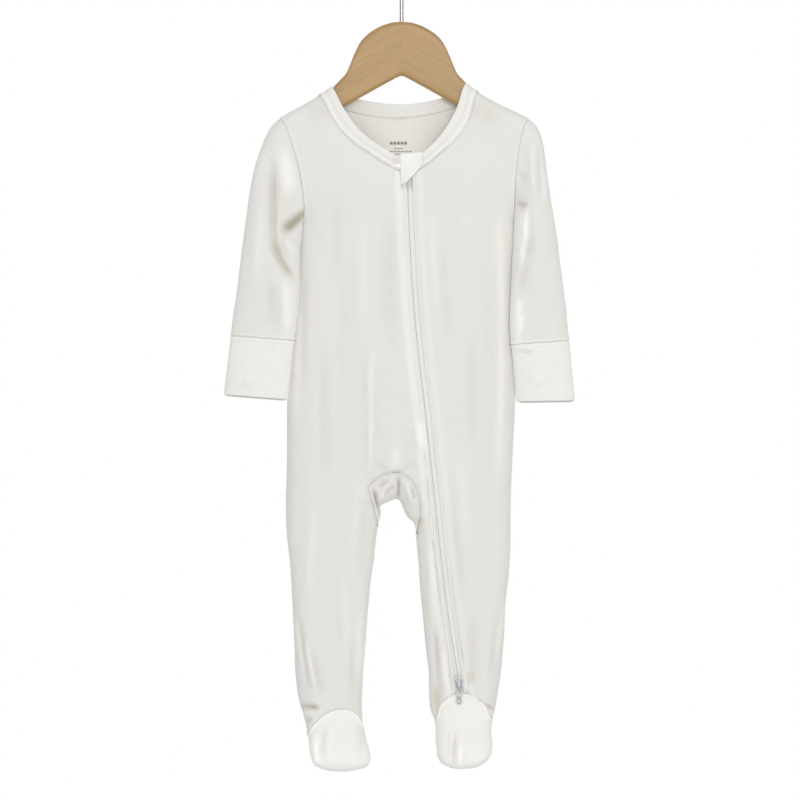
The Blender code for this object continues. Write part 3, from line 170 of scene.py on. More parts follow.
SLEEVE_FOLDS = {  # side: x0, z0, x1, z1, width, height
    -1: (
        (-104, -160, -94, -224, 8, 1.9), (-109, -170, -110, -276, 7, -1.6),
        (-101, -240, -86, -237, 8, -2.1), (-106, -250, -92, -288, 6, -1.7), (-97, -285, -98, -330, 6, 1.5),
        (101, -212, 101, -262, 6.5, 1.9), (114, -196, 111, -262, 7, 1.3), (111, -250, 96, -334, 6.5, -1.7),
        (104, -196, 99, -206, 5, -1.6),
    ),
    1: (
        (-107, -180, -113, -290, 8, 1.6), (-98, -236, -99, -300, 7, -1.7), (108, -185, 114, -300, 8, 1.6),
        (102, -230, 103, -310, 7, -1.5),
    ),
}

# Rows of the fronts and the back, counted from the shoulder seam: the armholes, then the side seams.
UNDERARM_ROW = 7
ARMHOLE = {
    "right_x": (-102.1, -97.6, -93.5, -88.5, -84.8, -82.6, -81.6, -82.5),
    "right_z": (-149.1, -155.1, -167, -183, -199, -214, -225, -234),
    "left_x": (106.4, 102.5, 99.6, 97.2, 95.8, 95.3, 95.2, 95.4),
    "left_z": (-149.5, -156, -168, -183, -198, -211, -222, -230),
}
# The neck's seam and the neckband's free edge, on the same rows. One more row follows at the zip.
NECK_FRONT = {
    "right_x": (-66.8, -62.6, -57, -49, -38.5, -27, -14),
    "right_z": (-128.9, -135.1, -147, -158.5, -168.5, -176.5, -185),
    "right_edge_x": (-58, -54.5, -49, -42, -34, -24.5, -11.5),
    "right_edge_z": (-122.8, -129, -140, -150.8, -160.5, -168.3, -176.8),
    "left_x": (61.7, 58.8, 55.6, 49.5, 40.5, 31, 21.5),
    "left_z": (-126, -133.1, -146, -158.5, -169, -177.3, -185.5),
    "left_edge_x": (53.5, 50.5, 47.3, 42.2, 34, 24.6, 16.5),
    "left_edge_z": (-119.9, -126.5, -137.5, -149, -162, -172.5, -179.5),
}
NECK_FOOT, NECK_EDGE_FOOT = -193.3, -184.3  # where those two lines reach the zip
NECK_BACK = {
    "right_x": (-66.8, -60.5, -51, -40, -28, -15, -1.3),
    "right_z": (-128.9, -133.9, -138.2, -141.3, -144, -145.8, -146.7),
    "right_edge_x": (-58, -54.5, -46.5, -37, -26, -13.5, -0.5),
    "right_edge_z": (-122.8, -126.5, -129.8, -132.2, -134.3, -136.1, -136.9),
    "left_x": (61.7, 56.5, 47, 36, 24, 11, -1.3),
    "left_z": (-126, -131.9, -136.5, -140.2, -143, -145.4, -146.7),
    "left_edge_x": (53.5, 49, 41.5, 32.5, 22.5, 11.5, -0.5),
    "left_edge_z": (-119.9, -124.8, -128.5, -131.8, -134.1, -136, -136.9),
}
BACK_NECK_ROW = 6
# Heights of the rows below the underarms: at the sides, at the zip and at the middle of the back.
LEVELS = {
    "right": (-234, -243, -262, -285, -310, -338, -366, -394, -420, -437, -446),
    "left": (-230, -240, -260, -283, -309, -338, -366, -394, -420, -437, -446),
    "zip": (NECK_FOOT, -207, -230, -258, -288, -322, -356, -389, -418, -436, -446),
    "back": (-163, -182, -207, -238, -272, -310, -348, -384, -416, -436, -446),
}
ARCH_ROW = 17
# Half of the crotch's arched seam and the inside of each leg, down to the gusset's tip, with the
# gusset's own middle line.
ARCH = {
    "right_side": (-446, -451, -457, -463, -471, -479, -485, -489.7),
    "right_x": (-4, -17, -24.5, -27.3, -24.6, -22.3, -20.9, -20.2),
    "right_z": (-446, -449.6, -455, -460.3, -470, -479, -485, -489.7),
    "right_middle_x": (-4.1, -8, -11.5, -15.5, -18.9, -18.1, -18.6, -20.2),
    "right_middle_z": (-467.9, -469.2, -470.6, -472.3, -474.5, -480, -484, -489.7),
    "left_side": (-446, -451, -458, -467, -476, -484, -490, -496),
    "left_x": (-4, 5, 10.5, 13.9, 14.9, 14.6, 13.6, 12.8),
    "left_z": (-446, -450.5, -457.5, -467, -476, -484, -490, -496),
    "left_middle_x": (-4.1, -1.6, 0.8, 3.2, 6.3, 10.1, 11.7, 12.8),
    "left_middle_z": (-467.9, -469.3, -473.5, -479.5, -484.5, -487.5, -491, -496),
}
TIP_ROW = 24
LEG = {
    "right": (-489.7, -505, -525, -548, -573, -600),
    "left": (-496, -509, -528, -550, -574, -600),
}
KNEE_ROW = 29
ANKLE_STEPS = (0.3, 0.6, 0.84, 1.0)  # how far each row below has moved from level to the ankle's seam
ANKLE_ROW = 33

# Seams across each leg, from its inner edge (0) to its outer edge (1).
ACROSS = (0, 0.06, 0.16, 0.3, 0.5, 0.7, 0.82, 0.91, 1)
ANKLE_SEAM = {
    "right": (-668, -656.5, -648.6, -645.2, -645.4, -648.8, -653.6, -658.6, -666),
    "left": (-657, -644.5, -637.2, -632.8, -631.7, -634, -638.6, -644, -655),
}
HEEL_SEAM = {
    "right": (-668, -668.6, -669.6, -671, -672, -671, -669, -667.4, -666),
    "left": (-657, -658.6, -661, -664.4, -667, -666, -662, -658, -655),
}
TOE_EDGE = {
    "right": (-686, -690.2, -692.6, -694.2, -694.8, -694.4, -693.2, -691.6, -689.3),
    "left": (-682.4, -687.8, -690.4, -692.2, -692.8, -691.6, -689.4, -686.4, -681.2),
}

ZIP = {
    "z": (-194, -207.5, -293, -341, -401, -453, -512, -572, -620, -640),
    "x": (5.8, 6.3, 10.5, 14.7, 21.8, 27.3, 33.6, 41, 47.5, 50),
}

# Rings of the sleeves from the armhole to the cuff's seam, and on to the cuff's free edge.
SLEEVE = {
    "right_outer_x": (-102.1, -110.5, -116.3, -121.4, -125.6, -129.4, -133.1, -136.9, -140.7, -142.4,
        -145.4, -148.3),
    "right_outer_z": (-149.1, -158.8, -171.4, -186.5, -205, -230.2, -259.6, -289, -316, -331.8, -356.4,
        -381),
    "right_inner_x": (-82.5, -83.2, -83.6, -84.4, -85.4, -85.6, -85.3, -86.2, -88.2, -90.3, -92.8, -95.3),
    "right_inner_z": (-234, -237.5, -243.5, -251.5, -260.5, -271.5, -285, -303, -321, -336, -360.5, -385.1),
    "left_outer_x": (106.4, 113.8, 118, 120.3, 123, 126.5, 130.5, 134.3, 137.6, 139.9, 142.3, 144.6),
    "left_outer_z": (-149.5, -157, -169, -187, -206, -229, -256, -285, -314, -336, -361, -386),
    "left_inner_x": (95.4, 95.2, 94.6, 94.2, 93.6, 93, 92.2, 91.6, 90.8, 92.3, 94.5, 96.6),
    "left_inner_z": (-230, -234, -241, -250, -259.5, -271, -285, -302, -321, -339.4, -363, -386.8),
    "depth": (9, 9.6, 10, 10, 10, 9.8, 9.5, 9.2, 8.8, 8.5, 8.3, 8),
    "middle": (0, -1.5, -4, -6.5, -8.5, -10, -11, -11, -11, -11, -11, -11),
}
CAP_RINGS = 2.5  # over these the armhole's own shape fades out of the sleeve
CUFF_RING = 9
HAND_RING = 11

# The zip guard, from its top edge to its point.
GUARD = {
    "right_x": (-1.3, -1.2, -1.1, -0.9, -0.7, -0.4),
    "left_x": (17.6, 17.4, 17, 12.4, 6.8, 0.6),
    "right_z": (-179.8, -184.5, -189.8, -196.3, -202.4, -208),
    "left_z": (-178.1, -183.3, -188.5, -195, -201, -206.6),
}

# The hanger's board: half of the outline over its dome, and the line under its arms.
DOME = (
    (0, -68), (8, -68.7), (16, -71.1), (23.5, -75), (30, -79.8), (35.2, -86), (39.2, -94),
    (42.4, -101.8), (44.6, -107.2), (46.3, -110.8), (49.7, -114.8), (53.2, -118.6), (57, -122.4),
)
BOARD_NOTCH = -113.3
BOARD_UNDER_SLOPE = 0.56
ARM_STEPS = (60, 68, 77, 86, 92, 100)

# The finer creases, on bowed lines from x0, z0 to x1, z1. A positive bow leans to the right of the way
# along the line, and a positive height swells. Their heights are also painted into the cloth's colour:
# painted shade where creases sink and a painted highlight where they swell.
CREASES = {  # side: x0, z0, x1, z1, bow, width, height
    -1: (
        (-12, -216, -12, -356, 0, 5, -0.55), (-25.5, -330, -26, -440, 0, 3.4, 0.8),
        (-19, -352, -19, -455, 0, 5, -0.35), (-51.7, -268, -51, -396, 0, 6, -0.3),
        (75, -212, 76, -480, 0, 4.5, -0.3), (84, -212, 84.5, -480, 0, 4, 0.4),
        (-5.5, -421, -5.5, -451, 0, 6, 1.1), (-4, -425, 8, -430, 0, 4, -0.4),
        (13, -400, 18, -432, 0, 4.5, 1.5), (14, -482, 12, -503, 0, 3.6, -1.6),
        # The two broad troughs over the shoulders are here mainly as painted shade, and the swell by the
        # right foot's side (x -73.5) as a painted highlight.
        (-86, -148, -46, -136, 0, 10, -0.7), (44, -135, 86, -150, 0, 10, -0.8),
        (-33, -545, -32, -630, 0, 3, 0.9), (-73.5, -662, -71, -698, 0, 3.4, 2.6),
        (27.5, -586, 32, -655, 0, 2.6, -0.8), (-26, -398, -26.5, -452, 0, 2.6, 0.7),
        (-56, -206, -55, -290, 0, 5, -0.5), (-33, -228, -32, -330, 1, 5, 0.5),
        (-68, -330, -66, -470, -1, 5, -0.6), (24, -215, 32, -330, 1, 4.5, 0.6),
        (33, -240, 40, -350, 1, 4, -0.5), (83, -218, 84, -330, 0, 4.5, 1.1),
        (84, -300, 83, -470, 0, 4, 0.9), (60, -320, 61, -440, 1, 5, -0.6), (48, -420, 56, -520, 1, 5, 0.7),
        (41, -470, 52, -560, 0, 4, -0.6), (-88, -280, -90, -420, 0, 4, 0.8),
        (-81, -262, -84, -400, 0, 3.5, -0.7), (-12, -447, -22, -436, -1, 3.5, -0.6),
        (2, -446, 10, -435, 1, 3.5, -0.5), (-35, -440, -40, -520, 1, 4, 0.4),
        (-29, -468, -33, -540, 0, 3.4, -0.5), (-74, -470, -80, -560, 0, 4, 0.7),
        (-50, -520, -46, -615, 0, 4.5, 0.6), (22, -500, 27, -590, 0, 3, 0.8),
        (-93, -552, -80, -626, 0, 2.3, 0.9), (-87, -560, -78, -632, 0, 2.4, -1.2),
        (-82, -582, -70, -636, 0, 2, 1.2), (-76, -590, -65, -640, 0, 3, -0.8),
        (-88, -641.5, -67, -643.5, 0, 1.9, -2.6), (-86, -637.5, -69, -638, 0, 1.8, 0.8),
        (-85, -647.5, -71, -648.5, 0, 2, 1.2), (-84, -653.5, -73, -654, 0, 1.5, -1.2),
        (-36, -560, -34, -630, 0, 2.6, 0.9), (-42, -580, -41, -646, 0, 2.6, -0.7),
        (27, -575, 31, -615, 0, 2.2, -1.1), (26, -622, 31, -655, 0, 3, -1.7),
        (33, -590, 38, -640, 0, 2.6, 0.8), (60, -560, 57, -632, 0, 4, -0.7),
        (88, -545, 80, -606, 0, 2.2, 1), (80, -560, 74, -626, 0, 2.6, -0.7),
        (54, -630, 76, -637, 1.2, 1.6, 0.6), (69, -640.5, 80, -646, 0, 1.7, -1.8),
        (70, -646, 80, -651, 0, 1.8, 1), (60, -612, 53, -628, 0, 3.2, -0.8),
        (45.5, -658, 41.5, -693, 0, 1.8, -1.2), (39.5, -658, 39, -690, 0, 1.8, -0.7),
        (50, -664, 48, -702, 0, 3, 1.4), (-64, -656, -66, -688, 1, 2.4, -0.8),
        (-58, -655, -60, -686, 1, 3, 0.6), (-38, -655, -33, -688, -1, 3, -0.6),
    ),
    1: (
        (-4, -170, -4, -290, 2, 5, -0.8), (-30, -190, -36, -330, 3, 5, 0.9),
        (34, -185, 38, -300, -2, 5, 0.8), (74, -230, 78, -360, 0, 4.5, 1),
        (-76, -240, -80, -390, 1, 4.5, 1.1), (66, -240, 66, -380, 1, 4.5, -0.8),
        (-66, -250, -68, -350, -1, 4.5, -0.7), (-14, -400, -24, -446, -2, 3.5, -0.9),
        (8, -402, 16, -446, 2, 3.5, -0.8), (-84, -520, -76, -640, 0, 3.2, 1),
        (-76, -540, -70, -648, 0, 3, -0.8), (84, -530, 76, -634, 0, 3.2, 1),
        (30, -520, 34, -640, 0, 3.2, -0.8), (-38, -520, -38, -640, 0, 3, 0.8),
        (-78, -650, -60, -662, 1, 2.4, -0.6), (74, -642, 58, -656, -1, 2.4, -0.6),
        (-50, -664, -48, -690, 1, 3.2, 0.8), (48, -664, 50, -690, 1, 3.2, 0.8),
    ),
}
SLEEVE_CREASES = {  # side: x0, z0, x1, z1, bow, width, height
    -1: (
        (-104, -166, -89, -224, 0, 8, 2.2), (-108.5, -172, -107, -270, 0, 3.2, -1.5),
        (-102, -247, -76, -224, 0, 3.8, -3.9), (-108, -246, -86, -288, 4.5, 3, -2),
        (-99, -248, -87, -268, 0, 3.2, 1.3), (-96.5, -278, -92, -342, 0, 7.5, 2.1),
        (-118, -210, -124, -300, 0, 5, 0.6), (-112, -280, -110, -330, 0, 5, -0.6),
        (111.5, -164, 109.5, -214, 0, 3.2, 0.9), (118, -184, 122, -228, 0, 3.6, 0.8),
        (114.5, -172, 116.5, -222, 0, 2.4, -0.8), (97, -220.5, 106, -224, 0, 1.9, -1.9),
        (99.5, -218, 100.5, -284, 0, 5.5, 2.6), (105, -220, 104, -262, 0, 4, 1.9),
        (101, -312, 100, -334, 0, 4, 1.2), (113, -240, 96, -304, 0, 3.4, -1),
        (98, -292, 94, -350, 0, 5, 2.3), (94, -342.5, 114, -342.5, 0, 1.5, 0.8),
        (96, -346, 110, -347.5, 0, 1.6, -0.8), (-116, -347, -101, -344, 0, 4, -0.5),
        (-134, -368, -118, -374, 0, 4.5, 0.6), (-112, -362, -98, -378, 0, 4, -0.4),
        (126, -352, 128, -378, 0, 4, -0.5), (106, -360, 118, -376, 0, 5, 0.5),
    ),
    1: (
        (-110, -176, -117, -260, 1, 4, 1), (-95, -236, -106, -268, 2, 3, -1.1),
        (-98, -262, -92, -300, 0, 3, 1), (112, -170, 118, -250, -1, 4, 0.9),
        (98, -232, 108, -262, -2, 3, -1.1), (99, -258, 95, -300, 0, 3, 1),
        (-120, -344, -106, -350, 0, 3.5, -0.6), (112, -348, 124, -352, 0, 3.5, 0.6),
    ),
}
GUSSET_CREASES = {  # side: x0, z0, x1, z1, bow, width, height
    -1: (
        (-24.5, -456, -19, -486, 0, 2.2, -2), (-21, -459, -9, -451, 1, 1.7, -1.1),
        (-20, -474, -13, -460, 0, 2.6, 1.2), (-2.2, -446, -2.8, -472, 0, 1.7, -1.7),
        (-19, -455, -13, -451, 0, 1.6, -0.6),
        (-15, -467, -5, -456, 0, 1.8, -0.9), (-17, -463, -8, -453, 0, 2, 1.2),
        (3, -452, 9, -474, 0, 2.2, 0.9), (8, -456, 11, -470, 0, 1.6, -0.9),
    ),
    1: (
        (-3, -447, -3, -470, 0, 2.2, -1.2), (-16, -462, -7, -452, 0, 2, 1),
    ),
}


# ---- curves and the garment's form


def curve(at, knots, values):
    """A smooth curve through the knots: cubic pieces with slopes taken from the neighbouring knots."""
    at, knots, values = (np.asarray(given, float) for given in (at, knots, values))
    if knots[0] > knots[-1]:
        knots, values = knots[::-1], values[::-1]
    slopes = np.gradient(values, knots)
    i = np.clip(np.searchsorted(knots, at) - 1, 0, len(knots) - 2)
    h = knots[i + 1] - knots[i]
    t = np.clip((at - knots[i]) / h, 0, 1)
    ends = values[i] * (1 + 2 * t) * (1 - t) ** 2 + values[i + 1] * t * t * (3 - 2 * t)
    return ends + h * (slopes[i] * t * (1 - t) ** 2 - slopes[i + 1] * t * t * (1 - t))


def smooth_step(t):
    """0 below 0, 1 above 1, and 3 t^2 - 2 t^3 between them."""
    t = np.clip(t, 0, 1)
    return t * t * (3 - 2 * t)


def mix(a, b, t):
    """From a, where t is 0, to b, where t is 1."""
    return a + (b - a) * t


def bell(off, width):
    """A bell curve: e to the power of -(off / width)^2."""
    return np.exp(-((off / width) ** 2))


def joined(*parts):
    """Arrays as the last axis of one array."""
    return np.stack(np.broadcast_arrays(*parts), -1)


def shoulder(x):
    """Height of the shoulder line."""
    return curve(x, SHOULDER["x"], SHOULDER["z"])


def zip_line(z):
    """Middle of the zip."""
    return curve(z, ZIP["z"], ZIP["x"])


def oval(x, z, low, high):
    """Depth, from 0 to 1, of a rounded section between two edges: sqrt(1 - u^p), with u from -1 to 1."""
    u = np.abs((2 * x - low - high) / (high - low))
    power = mix(FLATNESS, FOOT_FLATNESS, smooth_step((FOOT_SECTION - z) / FOOT_BLEND))
    return np.sqrt(np.clip(1 - u**power, 0, 1))


def outer_edge(z, leg):
    """The form's right or left edge."""
    return curve(z, EDGE[leg]["z"], EDGE[leg]["x"])


def inner_edge(z, leg):
    """The inner edge of a leg."""
    return curve(z, INSEAM[leg]["z"], INSEAM[leg]["x"])


def listed(table):
    """The rows of a table by side, each with its side in front."""
    return [(side, *row) for side, rows in table.items() for row in rows]


def folds(x, z, side, table):
    """Height of all the folds of one side at a point. Each is a bell across and fades along."""
    total = np.zeros(np.shape(x))
    for of_side, x0, z0, x1, z1, width, height in listed(table):
        run = ((x - x0) * (x1 - x0) + (z - z0) * (z1 - z0)) / ((x1 - x0) ** 2 + (z1 - z0) ** 2)
        off = np.hypot(x - mix(x0, x1, run), z - mix(z0, z1, run))
        fade = smooth_step((1 - np.abs(2 * run - 1)) / 0.5 + 0.1)
        total += (of_side == side) * height * fade * bell(off, width)
    return total


def creases(x, z, side, table, strength=1.0):
    """Height of the finer creases of one side: each is a bell across its bowed line and fades along it."""
    total = np.zeros(np.shape(x))
    for of_side, x0, z0, x1, z1, bow, width, height in listed(table):
        length = math.hypot(x1 - x0, z1 - z0)
        way_x, way_z = (x1 - x0) / length, (z1 - z0) / length
        along = ((x - x0) * way_x + (z - z0) * way_z) / length
        off = (x - x0) * way_z - (z - z0) * way_x - 4 * bow * along * (1 - along)
        fade = smooth_step(along / 0.35) * smooth_step((1 - along) / 0.35)
        total = total + (side == of_side) * height * fade * bell(off, width)
    return strength * total


def form(x, z, side, toe=0.0):
    """Points of the form's front (side -1) or back (side 1).

    The section at height z is one oval for the torso and two for the legs, which melt together over
    the hips. It rounds over the shoulder line at the top, and closes along a foot's edge, where toe is 1.
    """
    x, z, toe = np.broadcast_arrays(np.asarray(x, float), np.asarray(z, float), toe)
    right, left = outer_edge(z, "right"), outer_edge(z, "left")
    torso = oval(x, z, right, left)
    right_leg, left_leg = oval(x, z, right, inner_edge(z, "right")), oval(x, z, inner_edge(z, "left"), left)
    legs = (right_leg**4 + left_leg**4) ** 0.25
    hips = smooth_step((HIPS_TOP - z) / (HIPS_TOP - HIPS_BOTTOM))
    over = np.clip((shoulder(x) - z) / RIDGE, 0, 1)
    closing = np.sqrt(1 - (1 - over) ** 2) * np.sqrt(1 - toe**5)
    depth = curve(z, DEPTH["z"], DEPTH["front" if side < 0 else "back"]) + folds(x, z, side, FOLDS)
    depth = depth + creases(x, z, side, CREASES, CREASE_STRENGTH)
    middle = curve(z, DEPTH["z"], DEPTH["middle"])
    return np.stack([x, middle + side * depth * mix(torso, legs, hips) * closing, z], -1)


def front_raised(x, z, lift):
    """Points of the front, moved out along its normal by lift."""
    step = 0.05
    point = form(x, z, -1)
    across = form(x + step, z, -1) - form(x - step, z, -1)
    along = form(x, z + step, -1) - form(x, z - step, -1)
    normal = np.cross(across, along)
    return point + np.asarray(lift, float)[..., None] * unit(normal)


# ---- rows and seams


def over_fold(row, first, second):
    """Between rows 0 and 1 a seam rounds the fold of the shoulder, so it starts off slowly."""
    return mix(first, second, 1 - np.cos(np.clip(row, 0, 1) * math.pi / 2))


def seam(row, xs, zs):
    """A seam that starts on the shoulder line, at a row."""
    rows = np.arange(1, len(xs))
    x = np.where(row < 1, over_fold(row, xs[0], xs[1]), curve(np.maximum(row, 1), rows, xs[1:]))
    below = over_fold(row, 0, shoulder(xs[1]) - zs[1])
    z = np.where(row < 1, shoulder(x) - below, curve(np.maximum(row, 1), rows, zs[1:]))
    return x, z


def turned_line(row, at, above, heights, x_below):
    """A line that follows a seam down to a row, and from there runs through heights with an x of its own."""
    z_below = curve(np.maximum(row, at), at + np.arange(len(heights)), heights)
    x, z = above(np.minimum(row, at))
    return np.where(row < at, x, x_below(z_below)), np.where(row < at, z, z_below)


def side_line(row, leg):
    """The armhole's seam and below it the side seam, from the underarm to the knee."""
    return turned_line(row, UNDERARM_ROW, lambda high: seam(high, ARMHOLE[leg + "_x"], ARMHOLE[leg + "_z"]),
                       LEVELS[leg][:-1] + ARCH[leg + "_side"][:-1] + LEG[leg], lambda z: outer_edge(z, leg))


def slot_edge(z, leg):
    """The edge of a front along the zip."""
    return zip_line(z) - MIRROR[leg] * ZIP_SLOT / 2


def neck_front(row, leg, edge=""):
    """The neck's front seam, or the neckband's free edge, down to the zip."""
    foot = NECK_EDGE_FOOT if edge else NECK_FOOT
    xs = NECK_FRONT[leg + edge + "_x"] + (float(slot_edge(foot, leg)),)
    return seam(row, xs, NECK_FRONT[leg + edge + "_z"] + (foot,))


def zip_edge(row, leg):
    """The neck's front seam and below it the edge of a front along the zip, down to the knee."""
    heights = LEVELS["zip"][:-1] + ARCH["left_side"][:-1] + LEG["left"]
    return turned_line(row, UNDERARM_ROW, lambda high: neck_front(high, leg), heights,
                       lambda z: slot_edge(z, leg))


def back_middle(row, leg):
    """The neck's back seam and below it the middle of the back, down to the arch."""
    xs, zs = NECK_BACK[leg + "_x"], NECK_BACK[leg + "_z"]
    down = (row - BACK_NECK_ROW) / (ARCH_ROW - BACK_NECK_ROW)
    return turned_line(row, BACK_NECK_ROW, lambda high: seam(high, xs, zs), zs[-1:] + LEVELS["back"],
                       lambda z: mix(xs[-1], ARCH["right_x"][0], down))


def inner_line(row, leg):
    """The arch's seam from its top, then the gusset's side down to its tip."""
    rows = np.arange(ARCH_ROW, TIP_ROW + 1)
    return curve(row, rows, ARCH[leg + "_x"]), curve(row, rows, ARCH[leg + "_z"])


def leg_point(across, row, leg, seams):
    """A point of a leg below the gusset: across it from its inner edge (0) to its outer edge (1).

    Rows are level down to the knee. From there they bend to the curve of the seam across the leg.
    """
    steps = (0,) + ANKLE_STEPS
    ends = [
        LEG[leg] + tuple(mix(LEG[leg][-1], seams[leg][k], t) for t in ANKLE_STEPS) for k in (0, -1)
    ]
    rows = np.arange(TIP_ROW, TIP_ROW + len(ends[0]))
    z_in, z_out = curve(row, rows, ends[0]), curve(row, rows, ends[1])
    share = np.interp(row, KNEE_ROW + np.arange(len(steps)), steps)
    bend = curve(across, ACROSS, seams[leg]) - mix(seams[leg][0], seams[leg][-1], across)
    z = mix(z_in, z_out, across) + share * bend
    return mix(inner_edge(z_in, leg), outer_edge(z_out, leg), across), z, toe_closing(across, z, leg)


def toe_closing(across, z, leg):
    """0 down to the top of the toes and 1 at the foot's edge."""
    return np.clip((TOE_TOP - z) / (TOE_TOP - curve(across, ACROSS, TOE_EDGE[leg])), 0, 1)


def slot_across(row, leg):
    """How far across the left leg the edge of the right or the left front lies, at the zip."""
    across = 0.5 + 0 * np.asarray(row, float)
    for _ in range(6):
        x, z, _toe = leg_point(across, row, "left", ANKLE_SEAM)
        step = leg_point(across + 0.01, row, "left", ANKLE_SEAM)[0] - x
        across = across + (slot_edge(z, leg) - x) / step * 0.01
    return across


# ---- sheets


def between(x0, z0, x1, z1, share, row):
    """Points of a row between two lines. The first rows keep their distance below the shoulder line."""
    x = mix(x0, x1, share)
    hug = 1 - smooth_step((row - 1) / 3)
    return x, mix(z0, z1, share) + hug * (shoulder(x) - mix(shoulder(x0), shoulder(x1), share))


def panel(outer, inner, leg, side, seams, across):
    """A sheet between two lines down to the gusset's tip, and below it between two parts of a leg.

    Outer and inner give x and z for a row, and a share from 0 to 1 lies that far from one to the other.
    Across gives, for a row, how far across the leg those two sides are.
    """

    def sheet(share, row):
        high = np.minimum(row, TIP_ROW)
        x, z = between(*outer(high), *inner(high), share, high)
        start, end = across(row)
        leg_x, leg_z, toe = leg_point(mix(start, end, share), np.maximum(row, TIP_ROW), leg, seams)
        low = row > TIP_ROW
        return form(np.where(low, leg_x, x), np.where(low, leg_z, z), side, np.where(low, toe, 0))

    return sheet


def arch_line(row, leg):
    """On the right front, the line down to the top of the arch and then an inner line."""
    outer, inner = side_line(row, "right"), zip_edge(row, "right")
    x0 = float(outer_edge(ARCH["right_side"][0], "right"))
    x1 = float(slot_edge(ARCH["right_side"][0], "right"))
    high = between(*outer, *inner, (ARCH["right_x"][0] - x0) / (x1 - x0), row)
    return [np.where(row <= ARCH_ROW, a, b) for a, b in zip(high, inner_line(row, leg))]


def back_sheet(leg):
    """Half of the back, from a side seam to its middle, then one whole leg."""

    def inner(row):
        high, low = back_middle(np.minimum(row, ARCH_ROW), leg), inner_line(row, leg)
        return [np.where(row <= ARCH_ROW, a, b) for a, b in zip(high, low)]

    return panel(lambda row: side_line(row, leg), inner, leg, 1, HEEL_SEAM, lambda row: (1.0, 0.0))


RIGHT_SHEET = panel(
    lambda row: side_line(row, "right"), lambda row: arch_line(row, "right"),
    "right", -1, ANKLE_SEAM, lambda row: (1.0, 0.0),
)
STRIP_SHEET = panel(
    lambda row: arch_line(row, "left"), lambda row: zip_edge(row, "right"),
    "left", -1, ANKLE_SEAM, lambda row: (0.0, slot_across(np.maximum(row, TIP_ROW), "right")),
)
LEFT_SHEET = panel(
    lambda row: zip_edge(row, "left"), lambda row: side_line(row, "left"),
    "left", -1, ANKLE_SEAM, lambda row: (slot_across(np.maximum(row, TIP_ROW), "left"), 1.0),
)
BACK_SHEET = {leg: back_sheet(leg) for leg in ("right", "left")}


def gusset_sheet(s, row):
    """The gusset: s runs from its front seam (0) under the crotch to its back seam (1).

    Rows run from the right tip (-7) over the top of the arch (0) to the left tip (7). Across each row
    the sheet is half an ellipse that hangs from both seams down to the middle line, and the creases of
    the gusset are added to it.
    """
    rows = np.arange(TIP_ROW - ARCH_ROW + 1)
    x, z, middle_x, middle_z = (
        np.where(row < 0, *(curve(np.abs(row), rows, ARCH[leg + column]) for leg in LEGS))
        for column in ("_x", "_z", "_middle_x", "_middle_z")
    )
    turn = np.asarray(s, float) * math.pi
    down = np.sin(turn)
    front, back = form(x, z, -1)[..., 1], form(x, z, 1)[..., 1]
    y = np.where(s < 0.5, front, back) * np.abs(np.cos(turn))
    x, z = mix(x, middle_x, down), mix(z, middle_z, down)
    sink = creases(x, z, np.where(s < 0.5, -1, 1), GUSSET_CREASES, GUSSET_STRENGTH)
    sink = sink * smooth_step(down / 0.35)
    return joined(x, y - np.sign(0.5 - s) * sink, z)


def foot_sheet(leg, side):
    """A foot's top (side -1) or sole (side 1), from its seam with the leg (t 0) to the toe's edge (t 1)."""
    seams = ANKLE_SEAM if side < 0 else HEEL_SEAM

    def sheet(across, t):
        down = np.sin(t * math.pi / 2)
        z_in, z_out = (mix(seams[leg][k], TOE_EDGE[leg][k], down) for k in (0, -1))
        x = mix(inner_edge(z_in, leg), outer_edge(z_out, leg), across)
        z = mix(curve(across, ACROSS, seams[leg]), curve(across, ACROSS, TOE_EDGE[leg]), down)
        return form(x, z, side, toe_closing(across, z, leg))

    return sheet


def armhole_point(turn, leg):
    """The armhole's seam: turn runs 0 to 1 down its front and 1 to 2 up its back."""
    row = UNDERARM_ROW * np.where(turn <= 1, turn, 2 - turn)
    x, z = side_line(np.minimum(row, UNDERARM_ROW - 1e-9), leg)
    points = np.where((turn <= 1)[..., None], form(x, z, -1), form(x, z, 1))
    points[..., 1] *= np.where(np.abs(turn - 1) < 1e-6, 0, 1)
    return points


def sleeve_sheet(leg):
    """A sleeve and its cuff: rings of half ellipses between an outer and an inner line.

    The first ring is the armhole's own seam, and its shape fades out of the rings below.
    """
    rings = np.arange(len(SLEEVE["depth"]))

    def column(ring, name):
        return curve(ring, rings, SLEEVE[name])

    def ring_point(turn, ring, first):
        length = np.hypot(*(first[0] - first[1]))
        along = ((turn[0] - first[0][0]) * (first[1][0] - first[0][0])
                 + (turn[2] - first[0][1]) * (first[1][1] - first[0][1])) / length**2
        angle = np.arccos(np.clip(1 - 2 * along, -1, 1))
        share = (1 - np.cos(angle)) / 2
        x, z = (mix(column(ring, leg + "_outer_" + n), column(ring, leg + "_inner_" + n), share)
                for n in "xz")
        side = np.where(turn[1] < 0, -1, 1)
        swell = folds(x, z, side, SLEEVE_FOLDS)
        swell = swell + creases(x, z, side, SLEEVE_CREASES, SLEEVE_STRENGTH)
        depth = (column(ring, "depth") + swell) * np.sin(angle)
        return joined(x, column(ring, "middle") + turn[1] * depth, z)

    def sheet(turn, ring):
        turn, ring = np.broadcast_arrays(np.asarray(turn, float), np.asarray(ring, float))
        seam_point = armhole_point(turn, leg)
        first = np.array([[SLEEVE[leg + line + n][0] for n in "xz"] for line in ("_outer_", "_inner_")])
        where = (seam_point[..., 0], np.where(turn <= 1, -1, 1), seam_point[..., 2])
        start = ring_point(where, np.zeros_like(ring), first)
        fade = 1 - smooth_step(ring / CAP_RINGS)
        return ring_point(where, ring, first) + (seam_point - start) * fade[..., None]

    return sheet


